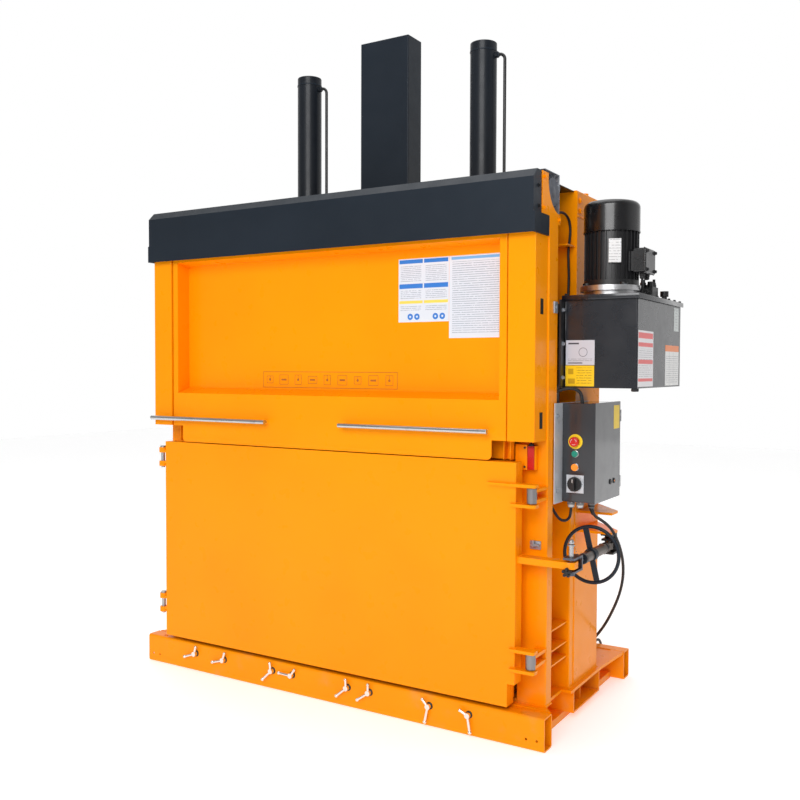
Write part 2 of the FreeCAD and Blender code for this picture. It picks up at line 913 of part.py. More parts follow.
def sprocket(z, shaft, end):
    wheel = rod(sprocket_radius, (loop_x - 7, loop_y, z), (loop_x + 7, loop_y, z))
    rim = rod(sprocket_radius - 8, (loop_x - 9, loop_y, z), (loop_x + 9, loop_y, z))
    window = []
    for turn in range(5):
        angle = math.radians(90 + 72 * turn)
        y, up = loop_y + 33 * math.cos(angle), z + 33 * math.sin(angle)
        window.append(rod(10, (loop_x - 20, y, up), (loop_x + 20, y, up)))
    hub = rod(shaft + 9, (loop_x - 16, loop_y, z), (loop_x + 16, loop_y, z))
    axle = rod(shaft, (end, loop_y, z), (loop_x + 22, loop_y, z))
    whole = join(wheel, rim, hub)
    for hole in window:
        whole = whole.cut(hole)
    return join(whole, axle)


def balance_shaft():
    half = sprocket(loop_top, shaft_radius, 0)
    return join(half, mirrored(half))


def counterweight():
    front = loop_y + chain_radius + chain_height / 2
    bar = block(
        (wall_out + 9, wall_out + 83),
        (front + 12, front + 82),
        (weight_top - weight_length, weight_top),
    )
    clip = block((loop_x - 5, loop_x + 5), (front + slide_gap, front + 13), (weight_top - 40, weight_top))
    return join(soften(bar, 6, "z"), clip)


# ---- Power pack ----

def tank():
    outside = block((tank_left, tank_right), (tank_front, tank_back), (tank_bottom, tank_top))
    outside = soften(outside, 6, "z")
    inside = block(
        (tank_left + tank_wall, tank_right - tank_wall),
        (tank_front + tank_wall, tank_back - tank_wall),
        (tank_bottom + tank_wall, tank_top + 1),
    )
    return outside.cut(inside)


def tank_lid():
    lid = block(
        (tank_left - lid_overhang, tank_right + lid_overhang),
        (tank_front - lid_overhang - 6, tank_back + lid_overhang),
        (tank_top, lid_top),
    )
    lid = soften(lid, 6, "z")
    return lid.cut(block(
        (tank_left + 10, tank_right - 10),
        (tank_front + 10, tank_back - 10),
        (tank_top - 1, lid_top - 4),
    ))


def tank_bracket():
    sheet = block((column_outer, tank_left), (212, column_back), (tank_bottom, tank_top - 2))
    window = block((column_outer - 1, tank_left + 1), (450, 640), (tank_bottom + 60, tank_top - 80))
    return sheet.cut(window)


def pump_flange():
    neck = rod(flange_radius - 16, (motor_x, motor_y, lid_top), (motor_x, motor_y, motor_base - 20))
    rim = rod(flange_radius, (motor_x, motor_y, motor_base - 20), (motor_x, motor_y, motor_base))
    return join(neck, rim)


def motor_housing():
    body = rod(motor_radius - 9, (motor_x, motor_y, motor_base), (motor_x, motor_y, motor_top))
    shield = rod(motor_radius, (motor_x, motor_y, motor_base), (motor_x, motor_y, motor_base + 22))
    fins = []
    for turn in range(32):
        fin = block(
            (motor_x + 60, motor_x + motor_radius),
            (motor_y - 1.6, motor_y + 1.6),
            (motor_base, motor_top),
        )
        fin.rotate(Vector(motor_x, motor_y, 0), Vector(0, 0, 1), 5.625 + 11.25 * turn)
        fins.append(fin)
    pad = block((motor_x + 60, motor_x + motor_radius + 2), (motor_y - 50, motor_y + 50), (1822, 1898))
    bore = rod(motor_shaft + running_gap, (motor_x, motor_y, 1800), (motor_x, motor_y, motor_top + 1))
    return join(body, shield, pad, *fins).cut(bore)


def fan_cover():
    radius = motor_radius + 3
    low = motor_top - 7
    cap = rod(radius, (motor_x, motor_y, low), (motor_x, motor_y, fan_top))
    cap = cap.makeFillet(24, [e for e in cap.Edges if e.CenterOfMass.z > fan_top - 1])
    room = rod(radius - 2.5, (motor_x, motor_y, low - 1), (motor_x, motor_y, fan_top - 2.5))
    room = room.makeFillet(21.5, [e for e in room.Edges if e.CenterOfMass.z > fan_top - 3])
    cap = cap.cut(room)
    for turn in range(12):
        slot = block((motor_x + 30, motor_x + 78), (motor_y - 4, motor_y + 4), (fan_top - 10, fan_top + 1))
        slot.rotate(Vector(motor_x, motor_y, 0), Vector(0, 0, 1), 30 * turn)
        cap = cap.cut(slot)
    return cap


def motor_fan():
    shaft = rod(motor_shaft, (motor_x, motor_y, 1810), (motor_x, motor_y, motor_top + 70))
    hub = rod(32, (motor_x, motor_y, motor_top + 25), (motor_x, motor_y, motor_top + 62))
    blades = []
    for turn in range(8):
        blade = block(
            (motor_x + 25, motor_x + 96),
            (motor_y - 2, motor_y + 2),
            (motor_top + 25, motor_top + 60),
        )
        blade.rotate(Vector(motor_x, motor_y, 0), Vector(0, 0, 1), 45 * turn)
        blades.append(blade)
    return join(shaft, hub, *blades)


def terminal_box():
    left = motor_x + motor_radius + 2
    box = block((left, left + 48), (motor_y - 64, motor_y + 66), (1812, 1908))
    box = soften(box, 9, "x")
    return soften(box, 5, "z", lambda p: p.x > left + 40)


def valve_block():
    low = lid_top
    axis = low + valve_height / 2
    front, back = valve_front, valve_front + valve_length
    body = block((valve_x - 29, valve_x + 29), (front, back), (low, low + valve_height))
    coil = rod(17, (valve_x - 4, back, axis), (valve_x - 4, back + 44, axis))
    knob = rod(12, (valve_x + 6, front - 28, axis), (valve_x + 6, front, axis))
    stub = rod(11, (valve_x + 12, front + 26, low + valve_height), (valve_x + 12, front + 26, low + 68))
    plug = rod(9, (valve_x - 12, front + 60, low + valve_height), (valve_x - 12, front + 60, low + 58))
    return join(body, coil, knob, stub, plug)


def breather():
    stem = rod(11, (breather_x, breather_y, lid_top), (breather_x, breather_y, lid_top + 14))
    cap = rod(17, (breather_x, breather_y, lid_top + 14), (breather_x, breather_y, lid_top + 36))
    return join(stem, cap)


# ---- Controls ----

def control_rail():
    return block((column_outer, box_left), (170, box_back + 4), (box_bottom - 2, box_top + 1))


def control_box():
    outside = block((box_left, box_right), (box_front, box_back), (box_bottom, box_top))
    outside = soften(outside, 3, "x")
    inside = block(
        (box_left + box_sheet, box_right + 1),
        (box_front + box_sheet, box_back - box_sheet),
        (box_bottom + box_sheet, box_top - box_sheet),
    )
    whole = outside.cut(inside)
    for z in (stop_z, start_z, reset_z, switch_z):
        hole = rod(
            button_stem + running_gap,
            (button_x, box_front - 1, z),
            (button_x, box_front + box_sheet + 1, z),
        )
        whole = whole.cut(hole)
    return whole


def control_door():
    left = box_right + slide_gap
    right = left + lid_depth
    outside = block((left, right), (box_front - 2, box_back + 2), (box_bottom - 2, box_top + 2))
    outside = soften(outside, 3, "x")
    return outside.cut(block(
        (left - 1, right - box_sheet),
        (box_front - 2 + box_sheet, box_back + 2 - box_sheet),
        (box_bottom - 2 + box_sheet, box_top + 2 - box_sheet),
    ))


def push_button(z, head, height, stem_length):
    """A round head in front of the box, on a stem through its wall."""
    face = box_front - 6
    cap = rod(head, (button_x, face - height, z), (button_x, face, z))
    front = [edge for edge in cap.Edges if edge.CenterOfMass.y < face - height + 0.5]
    cap = cap.makeFillet(min(4, height / 3), front)
    stem = rod(button_stem, (button_x, face - 1, z), (button_x, box_front + stem_length, z))
    return join(cap, stem)


def main_switch():
    disc = rod(27, (button_x, box_front - 16, switch_z), (button_x, box_front - 3, switch_z))
    grip = block(
        (button_x - 8, button_x + 8), (box_front - 34, box_front - 16), (switch_z - 25, switch_z + 25))
    grip = soften(grip, 5, "y")
    stem = rod(button_stem, (button_x, box_front - 4, switch_z), (button_x, box_front + 20, switch_z))
    return join(disc, grip, stem)


def cable_glands():
    glands = []
    for x, y in gland_places:
        nut = rod(gland_radius, (x, y, box_bottom - 14), (x, y, box_bottom))
        cap = rod(gland_radius - 3, (x, y, box_bottom - gland_drop), (x, y, box_bottom - 14))
        glands.append(join(nut, cap))
    return Part.makeCompound(glands)


def control_cables():
    """Leads to the door switch, into the top of the control box, beside the column and to the motor."""
    x, y = gland_places[0]
    low = box_bottom - gland_drop
    plug_end = wall_out + 14
    loop = bent_bar(
        [(x, y, low), (x, y, 862), (x - 4, y - 48, 838), (x - 50, 222, 866),
         (plug_end + 42, 222, 940), (plug_end, 222, 940)],
        16, 4)
    switch_plug = rod(9, (wall_out, 222, 940), (plug_end, 222, 940))
    height = box_top + 35
    riser = bent_bar(
        [(wall_out, riser_y, height), (box_left + 42, riser_y, height),
         (box_left + 71, 268, height), (box_left + 71, 268, box_top)],
        16, 5)
    x = column_outer - 30
    top_lead = bent_bar(
        [(x, column_front, 2002), (x, 306, 2002), (x + 8, 300, 1950),
         (x + 4, 304, 1860), (x, 310, 1790), (x, column_front, 1790)],
        20, 5)
    box_low = 1812
    motor_lead = rod(6, (tank_right - 20, motor_y, lid_top), (tank_right - 20, motor_y, box_low))
    return loop, switch_plug, riser, top_lead, motor_lead


def safety_switch():
    return block((wall_out + 44, wall_out + 72), (wall_front - 31, wall_front), (1052, 1142))


# ---- Closing spindle ----

def spindle_bracket():
    left, right = spindle_x - 25, spindle_x + 25
    top = fin_heights[0]
    web = block((left, right), (pivot_y + 23, pivot_y + 31), (spindle_z - 32, top))
    flange = block((left, right), (pivot_y - 30, pivot_y + 31), (top - 8, top))
    upper = block((left, right), (pivot_y - 20, pivot_y + 31), (spindle_z + 22, spindle_z + 30))
    lower = block((left, right), (pivot_y - 20, pivot_y + 31), (spindle_z - 32, spindle_z - 24))
    hole = rod(
        trunnion + running_gap,
        (spindle_x, pivot_y, spindle_z - 40),
        (spindle_x, pivot_y, spindle_z + 31),
    )
    return join(web, flange, upper, lower).cut(hole)


def spindle_eye():
    eye = rod(18, (spindle_x, pivot_y, spindle_z - 13), (spindle_x, pivot_y, spindle_z + 13))
    pins = rod(trunnion, (spindle_x, pivot_y, spindle_z - 31), (spindle_x, pivot_y, spindle_z + 29))
    shank = rod(spindle_rod, (spindle_x, pivot_y, spindle_z), (spindle_x, barrel_back - 120, spindle_z))
    return join(eye, pins, shank)


def handwheel():
    barrel = rod(barrel_radius, (spindle_x, barrel_front, spindle_z), (spindle_x, barrel_back, spindle_z))
    hub = rod(barrel_radius + 6, (spindle_x, wheel_y - 14, spindle_z), (spindle_x, wheel_y + 14, spindle_z))
    rim = Part.makeTorus(
        wheel_radius, wheel_rim,
        Vector(spindle_x, wheel_y, spindle_z), Vector(0, 1, 0))
    spoke = block(
        (spindle_x - 11, spindle_x + 11),
        (wheel_y - 3, wheel_y + 3),
        (spindle_z - wheel_radius, spindle_z + wheel_radius),
    )
    spoke.rotate(Vector(spindle_x, wheel_y, spindle_z), Vector(0, 1, 0), -spoke_lean)
    bore = rod(
        spindle_rod + running_gap,
        (spindle_x, barrel_front - 1, spindle_z),
        (spindle_x, barrel_back + 1, spindle_z),
    )
    return join(barrel, hub, spoke, rim).cut(bore)


def clevis_rod():
    reach = tongue_thickness / 2 + clevis_gap
    left, right = spindle_x - 22, spindle_x + 22
    front, back = tongue_y - 26, clevis_web + 10
    upper = block((left, right), (front, back), (spindle_z + reach, spindle_z + reach + clevis_plate))
    lower = block((left, right), (front, back), (spindle_z - reach - clevis_plate, spindle_z - reach))
    web = block((left, right), (clevis_web, back), (spindle_z - reach, spindle_z + reach))
    shank = rod(spindle_rod, (spindle_x, clevis_web, spindle_z), (spindle_x, barrel_front + 120, spindle_z))
    boss_top = spindle_z - reach - clevis_plate
    boss = rod(14, (spindle_x, tongue_y, boss_top - 12), (spindle_x, tongue_y, boss_top))
    hole = rod(
        lock_pin_radius + running_gap,
        (spindle_x, tongue_y, spindle_z - 60),
        (spindle_x, tongue_y, spindle_z + 60),
    )
    return join(upper, lower, web, boss).cut(hole).fuse(shank).removeSplitter()


def lock_pin():
    """Stored raised, so its tip stands just above the door's tongue."""
    tip = spindle_z + tongue_thickness / 2 + 3
    collar = spindle_z + tongue_thickness / 2 + clevis_gap + clevis_plate + slide_gap + lock_pin_lift
    shank = rod(lock_pin_radius, (spindle_x, tongue_y, tip), (spindle_x, tongue_y, collar))
    ring = rod(lock_pin_radius + 4, (spindle_x, tongue_y, collar), (spindle_x, tongue_y, collar + 4))
    head = knob(11, (spindle_x, tongue_y, collar), (spindle_x, tongue_y, collar + 13), 7)
    return join(shank, ring, head)


def strap_lever(x, angle):
    y = -15
    hub = rod(11, (x, y - 6, lever_z), (x, -seat_gap, lever_z))
    pivot = rod(lever_pivot, (x, y, lever_z), (x, rail_wall + 12, lever_z))
    pieces = [hub, pivot]
    for length, turn, ball in ((lever_arm, angle, 8), (lever_tail, angle - lever_elbow, 7)):
        way = (math.cos(math.radians(turn)), math.sin(math.radians(turn)))
        end = (x + length * way[0], y, lever_z + length * way[1])
        pieces.append(knob(ball, (x, y, lever_z), end, lever_rod))
    return join(*pieces)


# ---- Supply lead ----

def power_cord():
    radii = cord_radii(cord_points)
    path = bend_path(cord_points, radii)
    tube = round_tube(path, cord_radius)
    print("cord radii", [round(r) for r in radii], "length", round(path.Length))
    print("cord volume ratio", round(tube.Volume / (math.pi * cord_radius ** 2 * path.Length), 4))
    return tube


def cord_coil():
    outside = rod(coil_radius + coil_band, (coil_x, coil_y, 0), (coil_x, coil_y, coil_height))
    outside = outside.makeFillet(8, [e for e in outside.Edges if isinstance(e.Curve, Part.Circle)])
    middle = rod(coil_radius - coil_band, (coil_x, coil_y, -1), (coil_x, coil_y, coil_height + 1))
    return outside.cut(middle)


def power_plug():
    left = coil_x - plug_reach - plug_tail - plug_length
    y, z = plug_y, plug_radius + 3
    body = rod(plug_radius - 4, (left + 45, y, z), (left + plug_length, y, z))
    sleeve = rod(plug_radius, (left, y, z), (left + 48, y, z))
    mouth = rod(plug_radius - 4, (left - 1, y, z), (left + 40, y, z))
    flange = rod(plug_radius + 3, (left + 44, y, z), (left + 52, y, z))
    pins = []
    for turn in range(5):
        angle = math.radians(72 * turn + 90)
        at = (y + 14 * math.cos(angle), z + 14 * math.sin(angle))
        pins.append(rod(3, (left + 8, *at), (left + 42, *at)))
    tail = rod(11, (left + plug_length - 1, y, z), (left + plug_length + plug_tail, y, z))
    return join(join(body, sleeve, flange, tail).cut(mouth), *pins)


write("base_frame", base_frame())
write("chamber_floor", chamber_floor())
write("left_side_frame", left_side_frame())
write("right_side_frame", right_side_frame())
write("rear_wall", rear_wall())
write("cross_beam", cross_beam())
write("hinge_pins", hinge_pins())
write("guide_casings", both_sides(guide_casing()))
write("end_plates", both_sides(end_plate()))
write("wheel_brackets", both_sides(wheel_bracket()))
write("top_cover", top_cover())
write("fascia_panel", fascia_panel())
write("mast_cover", mast_cover())
write("cylinders", Part.makeCompound([cylinder(), cylinder().translated(Vector(-2 * cylinder_x, 0, 0))]))
write("cylinder_pipes", Part.makeCompound([cylinder_pipe(-1), cylinder_pipe(1)]))
write("platen", platen())
write("piston_rods", both_sides(piston_rod()))
write("chamber_door", chamber_door())
write("loading_door", loading_door())
write("door_handles", Part.makeCompound([door_handle(-casing_outer + 10, -280), door_handle(120, 810)]))
write("lift_chains", both_sides(chain_loop()))
write("balance_shaft", balance_shaft())
write("idler_wheels", both_sides(sprocket(loop_bottom, idler_shaft, wall_in + slide_gap)))
write("counterweights", both_sides(counterweight()))
write("tank", tank())
write("tank_lid", tank_lid())
write("tank_bracket", tank_bracket())
write("pump_flange", pump_flange())
write("motor_housing", motor_housing())
write("fan_cover", fan_cover())
write("motor_fan", motor_fan())
write("terminal_box", terminal_box())
write("valve_block", valve_block())
write("breather", breather())
write("control_rail", control_rail())
write("control_box", control_box())
write("control_door", control_door())
write("stop_button", push_button(stop_z, 19, 18, 12))
write("start_button", push_button(start_z, 12.5, 6, 12))
write("reset_button", push_button(reset_z, 14, 6, 12))
write("main_switch", main_switch())
write("cable_glands", cable_glands())
write("control_cables", Part.makeCompound(control_cables()))
write("safety_switch", safety_switch())
write("spindle_bracket", spindle_bracket())
write("spindle_eye", spindle_eye())
write("handwheel", handwheel())
write("clevis_rod", clevis_rod())
write("lock_pin", lock_pin())
for number, (x, angle) in enumerate(zip(lever_places, lever_angles), 1):
    write("strap_lever_" + str(number), strap_lever(x, angle))
write("power_cord", power_cord())
write("cord_coil", cord_coil())
write("power_plug", power_plug())
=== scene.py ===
import math
import bpy
import bmesh
from mathutils import Matrix, Vector


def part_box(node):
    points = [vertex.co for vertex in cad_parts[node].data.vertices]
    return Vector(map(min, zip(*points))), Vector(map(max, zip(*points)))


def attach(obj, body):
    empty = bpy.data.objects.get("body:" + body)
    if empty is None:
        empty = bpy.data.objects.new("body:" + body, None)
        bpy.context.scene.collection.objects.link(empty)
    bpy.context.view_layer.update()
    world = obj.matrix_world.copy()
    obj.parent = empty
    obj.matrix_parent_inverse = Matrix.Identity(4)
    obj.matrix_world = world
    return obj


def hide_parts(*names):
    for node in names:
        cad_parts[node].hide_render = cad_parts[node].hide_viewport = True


# Lengths are in metres. +X is right, +Y back through the press chamber, +Z up.

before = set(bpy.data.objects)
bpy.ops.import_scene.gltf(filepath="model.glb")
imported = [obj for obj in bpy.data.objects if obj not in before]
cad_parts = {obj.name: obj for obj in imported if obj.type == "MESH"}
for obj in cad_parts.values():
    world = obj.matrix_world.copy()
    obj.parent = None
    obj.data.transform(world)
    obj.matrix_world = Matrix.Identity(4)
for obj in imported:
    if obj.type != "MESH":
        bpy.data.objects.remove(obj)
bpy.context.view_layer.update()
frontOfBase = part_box("base_frame")[0].y   # the base's front face, from which depths are given


def at(x, depth, z):
    # a place given by its depth behind the base's front face
    return Vector((x, frontOfBase + depth, z))


def placed(name, data):
    # a new object in the scene
    made = bpy.data.objects.new(name, data)
    bpy.context.collection.objects.link(made)
    return made


cameraSettings = {
    "place": (2.321, -3.656, 1.437),
    "look": (-0.52074, 0.85304, -0.03406),
    "roll": 0.0033,
    "lens": 40.85,
}


def makeCamera():
    data = bpy.data.cameras.new("camera")
    data.lens = cameraSettings["lens"]
    data.sensor_width = 36
    camera = placed("camera", data)
    turn = Vector(cameraSettings["look"]).to_track_quat("-Z", "Y").to_matrix().to_4x4()
    roll = Matrix.Rotation(cameraSettings["roll"], 4, "Z")
    camera.matrix_world = Matrix.Translation(cameraSettings["place"]) @ turn @ roll
    bpy.context.scene.camera = camera


def areaLight(name, place, target, size, power):
    data = bpy.data.lights.new(name, "AREA")
    data.shape = "RECTANGLE"
    data.size, data.size_y = size
    data.energy = power
    light = placed(name, data)
    light.location = place
    light.rotation_euler = (Vector(target) - Vector(place)).to_track_quat("-Z", "Y").to_euler()


lightSettings = {
    "behind": 1.0,     # the studio behind and beside the machine is white
    "ahead": 0.34,     # and dimmer in front of it
    "right": 0.62,     # the share of it left at the right-hand side
    "turnDepth": (-0.35, 0.35),   # where it passes from one to the other
    "turnRight": (0.0, 0.4),
    "key": {"place": (2.0, -6.6, 4.2), "target": (0, 0, 1.2), "size": (4.5, 3.2), "power": 300},
    "top": {"place": (0, -0.6, 6.4), "target": (0, 0, 1.0), "size": (5.0, 4.0), "power": 90},
}


def fade(tree, limits, start, end):
    # a smooth step from one strength to another
    made = tree.nodes.new("ShaderNodeMapRange")
    made.interpolation_type = "SMOOTHSTEP"
    for label, value in zip(("From Min", "From Max", "To Min", "To Max"), (*limits, start, end)):
        made.inputs[label].default_value = value
    return made


def makeWorld():
    world = bpy.data.worlds.new("studio")
    world.use_nodes = True
    tree = world.node_tree
    place = tree.nodes.new("ShaderNodeTexCoord")
    parts = tree.nodes.new("ShaderNodeSeparateXYZ")
    s = lightSettings
    behind = fade(tree, s["turnDepth"], s["ahead"], s["behind"])
    beside = fade(tree, s["turnRight"], 1.0, s["right"])
    both = tree.nodes.new("ShaderNodeMath")
    both.operation = "MULTIPLY"
    tree.links.new(place.outputs["Generated"], parts.inputs[0])
    tree.links.new(parts.outputs["Y"], behind.inputs["Value"])
    tree.links.new(parts.outputs["X"], beside.inputs["Value"])
    tree.links.new(behind.outputs["Result"], both.inputs[0])
    tree.links.new(beside.outputs["Result"], both.inputs[1])
    tree.links.new(both.outputs[0], tree.nodes["Background"].inputs["Strength"])
    tree.nodes["Background"].inputs["Color"].default_value = (1, 1, 1, 1)
    bpy.context.scene.world = world


def makeLights():
    makeWorld()
    for name in ("key", "top"):
        areaLight(name + "Light", **lightSettings[name])
    bpy.context.scene.view_settings.view_transform = "Standard"


makeCamera()
makeLights()
print("camera and light made")


class Num:
    # a number in a node tree, so that shader maths reads as an expression
    def __init__(self, look, socket):
        self.look = look
        self.socket = socket

    def __add__(self, other): return self.look.calc("ADD", self, other)
    def __radd__(self, other): return self.look.calc("ADD", other, self)
    def __sub__(self, other): return self.look.calc("SUBTRACT", self, other)
    def __rsub__(self, other): return self.look.calc("SUBTRACT", other, self)
    def __mul__(self, other): return self.look.calc("MULTIPLY", self, other)
    def __rmul__(self, other): return self.look.calc("MULTIPLY", other, self)
    def __truediv__(self, other): return self.look.calc("DIVIDE", self, other)
    def __gt__(self, other): return self.look.calc("GREATER_THAN", self, other)
    def __lt__(self, other): return self.look.calc("LESS_THAN", self, other)


class Nodes:
    # a node tree being made; values are constants, numbers or other nodes' sockets
    def node(self, kind, settings=None, values=None):
        made = self.tree.nodes.new(kind)
        for name, value in (settings or {}).items():
            setattr(made, name, value)
        for name, value in (values or {}).items():
            socket = made.inputs[name]
            value = value.socket if isinstance(value, Num) else value
            if isinstance(value, bpy.types.NodeSocket):
                self.tree.links.new(value, socket)
            else:
                socket.default_value = value
        return made


class Look(Nodes):
    # one material being made
    def __init__(self, name):
        self.material = bpy.data.materials.new(name)
        self.material.use_nodes = True
        self.tree = self.material.node_tree
        self.tree.nodes.clear()
        self.place = self.node("ShaderNodeTexCoord").outputs["Object"]

    def calc(self, operation, *values):
        made = self.node("ShaderNodeMath", {"operation": operation}, dict(enumerate(values)))
        return Num(self, made.outputs[0])

    def axes(self, source=None):
        parts = self.node("ShaderNodeSeparateXYZ", None, {0: source or self.place})
        return [Num(self, parts.outputs[i]) for i in range(3)]

    def stretched(self, scale):
        made = self.node("ShaderNodeMapping", None, {"Vector": self.place, "Scale": scale})
        return made.outputs["Vector"]

    def noise(self, scale, detail=2.0, source=None):
        made = self.node("ShaderNodeTexNoise", None, {
            "Vector": source or self.place, "Scale": scale, "Detail": detail})
        return Num(self, made.outputs["Fac"])

    def tint(self, share, first, second):
        made = self.node("ShaderNodeMix", {"data_type": "RGBA"}, {0: share, 6: first, 7: second})
        return made.outputs[2]

    def ramp(self, share, low, high):
        made = self.node("ShaderNodeMapRange", {"interpolation_type": "SMOOTHSTEP"}, {
            "Value": share, "From Min": low, "From Max": high})
        return Num(self, made.outputs["Result"])

    def between(self, value, low, high):
        return (value > low) * (value < high)

    def bump(self, height, depth):
        made = self.node("ShaderNodeBump", None, {"Height": height, "Distance": depth, "Strength": 1.0})
        return made.outputs["Normal"]

    def finish(self, values):
        shader = self.node("ShaderNodeBsdfPrincipled", None, values)
        self.node("ShaderNodeOutputMaterial", None, {"Surface": shader.outputs["BSDF"]})
        return self.material


def rgb(red, green, blue):
    # an ordinary colour of 0 to 255 as the linear one that a shader takes
    def linear(part):
        part = part / 255
        return part / 12.92 if part <= 0.04045 else ((part + 0.055) / 1.055) ** 2.4
    return (linear(red), linear(green), linear(blue), 1)


paintColours = {
    "orange": rgb(254, 152, 3),
    "deepOrange": rgb(250, 144, 1),
    "anthracite": rgb(26, 35, 45),
    "darkAnthracite": rgb(20, 28, 37),
    "tankBlack": rgb(14, 18, 28),
    "dust": rgb(170, 160, 145),
}


paintSettings = {
    "cloudScale": 1.7,        # broad clouds of the deeper tint
    "cloudShare": 0.6,
    "unevenness": 0.09,       # how far the roughness wanders
    "coatRoughness": 0.08,
    "dust": (0.02, 0.45),     # dust thins out between these heights
    "orangeRoughness": 0.27,
    "orangeCoat": 0.06,
    "orangeGloss": 0.1,
    "orangePeel": 0.00012,
}


def clouded(look, colour, deeper):
    cloud = look.noise(paintSettings["cloudScale"], 3)
    return look.tint(look.ramp(cloud, 0.35, 0.7) * paintSettings["cloudShare"], colour, deeper)


def unevenGloss(look, roughness):
    return look.ramp(look.noise(14, 4), 0.3, 0.8) * paintSettings["unevenness"] + roughness


def peel(look, depth):
    # the fine waviness of sprayed paint
    return look.bump(look.noise(330, 2) * 0.6 + look.noise(95, 2) * 0.4, depth)


def makePaint(name, colour, deeper, roughness, coat, peelDepth, dusty=0.0, gloss=0.5):
    look = Look(name)
    tint = clouded(look, colour, deeper)
    height = look.axes()[2]
    dirt = look.ramp(look.noise(9, 5), 0.52, 0.75) * (1 - look.ramp(height, *paintSettings["dust"])) * dusty
    return look.finish({
        "Base Color": look.tint(dirt, tint, paintColours["dust"]),
        "Roughness": unevenGloss(look, roughness) + dirt * 0.3,
        "Specular IOR Level": gloss,
        "Coat Weight": coat,
        "Coat Roughness": paintSettings["coatRoughness"],
        "Normal": peel(look, peelDepth),
    })


def makeDoorPaint(pins, pinRadius):
    # door paint whose two catch pins are bare steel
    look = Look("doorPaint")
    x, y, z = look.axes()
    tint = clouded(look, paintColours["orange"], paintColours["deepOrange"])
    pin, halfLength = pins[0], 0.031
    away = look.calc("SQRT", (x - pin.x) * (x - pin.x) + (y - pin.y) * (y - pin.y))
    lower, upper = [look.between(z, p.z - halfLength, p.z + halfLength) for p in pins]
    heights = lower + upper
    steel = (away < pinRadius) * heights
    slide = look.noise(38, 4, look.stretched((1, 1, 0.15)))
    worn = look.ramp(slide, 0.6, 0.68) * look.ramp(x, pin.x + 0.05, pin.x + 0.09) * 0.7
    bare = look.calc("MAXIMUM", steel, worn)
    return look.finish({
        "Base Color": look.tint(bare, tint, rgb(178, 178, 176)),
        "Metallic": bare,
        "Roughness": unevenGloss(look, paintSettings["orangeRoughness"]) + bare * 0.06,
        "Specular IOR Level": paintSettings["orangeGloss"],
        "Coat Weight": paintSettings["orangeCoat"],
        "Coat Roughness": paintSettings["coatRoughness"],
        "Normal": peel(look, paintSettings["orangePeel"]),
    })


def makeChamberPaint():
    # the floor inside the chamber is scuffed along its length
    look = Look("chamberFloorPaint")
    scuff = look.ramp(look.noise(16, 6, look.stretched((3, 0.25, 1))), 0.5, 0.72)
    return look.finish({
        "Base Color": look.tint(scuff, paintColours["orange"], rgb(120, 116, 110)),
        "Metallic": scuff * 0.8,
        "Roughness": 0.34 + scuff * 0.12,
        "Normal": look.bump(look.noise(240, 3), 0.0002),
    })


def makeSteel(name, colour, roughness, along, grain=0.00005, metal=1.0):
    look = Look(name)
    streak = look.noise(60, 5, look.stretched(along))
    spots = look.ramp(look.noise(24, 4), 0.55, 0.8)
    return look.finish({
        "Base Color": look.tint(spots * 0.35, colour, rgb(120, 118, 114)),
        "Metallic": metal,
        "Roughness": look.ramp(streak, 0.3, 0.75) * 0.16 + roughness,
        "Normal": look.bump(streak, grain),
    })


def makeZinc(name):
    look = Look(name)
    cells = look.node("ShaderNodeTexVoronoi", None, {"Vector": look.place, "Scale": 90.0})
    cell = look.axes(cells.outputs["Color"])[0]
    return look.finish({
        "Base Color": look.tint(cell, rgb(176, 182, 190), rgb(146, 153, 162)),
        "Metallic": 0.55,
        "Roughness": cell * 0.18 + 0.32,
        "Normal": look.bump(look.noise(400, 2), 0.00006),
    })


def makePlastic(name, colour, roughness):
    look = Look(name)
    grain = look.noise(900, 2)
    cloud = look.noise(30, 3)
    darker = tuple(part * 0.82 for part in colour[:3]) + (1,)
    return look.finish({
        "Base Color": look.tint(look.ramp(cloud, 0.4, 0.7) * 0.5, colour, darker),
        "Roughness": look.ramp(grain, 0.3, 0.7) * 0.08 + roughness,
        "Normal": look.bump(grain, 0.00006),
    })


def makeRubber(name):
    look = Look(name)
    grain = look.noise(700, 3)
    scuff = look.ramp(look.noise(20, 4), 0.45, 0.75) * 0.5
    return look.finish({
        "Base Color": look.tint(scuff, rgb(24, 24, 26), rgb(46, 45, 45)),
        "Roughness": grain * 0.15 + 0.5,
        "Normal": look.bump(grain, 0.00012),
    })


def makeLamp(name, colour, glow):
    look = Look(name)
    rings = look.noise(300, 1)
    return look.finish({
        "Base Color": colour,
        "Roughness": rings * 0.1 + 0.16,
        "Emission Color": colour,
        "Emission Strength": glow,
        "Coat Weight": 0.4,
        "Normal": look.bump(rings, 0.00005),
    })


paints = {
    # colour, deeper tint, roughness, coat, peel, dust and gloss
    "orangePaint": (
        paintColours["orange"], paintColours["deepOrange"], paintSettings["orangeRoughness"],
        paintSettings["orangeCoat"], paintSettings["orangePeel"], 0.15, paintSettings["orangeGloss"]),
    "anthracitePaint": (
        paintColours["anthracite"], paintColours["darkAnthracite"], 0.42, 0.04, 0.0001, 0.0, 0.25),
    "columnPaint": (rgb(20, 26, 34), rgb(15, 20, 27), 0.36, 0.08, 0.0001, 0.0, 0.3),
    "tankPaint": (paintColours["tankBlack"], rgb(26, 28, 33), 0.26, 0.55, 0.00006),
    "boxPaint": (rgb(34, 36, 42), rgb(29, 31, 37), 0.3, 0.9, 0.00008),
    "satinBlackPaint": (rgb(22, 22, 24), rgb(22, 22, 24), 0.36, 0.1, 0.0001),
    "coverBlackPaint": (rgb(16, 16, 18), rgb(21, 21, 23), 0.26, 0.4, 0.00006),
}

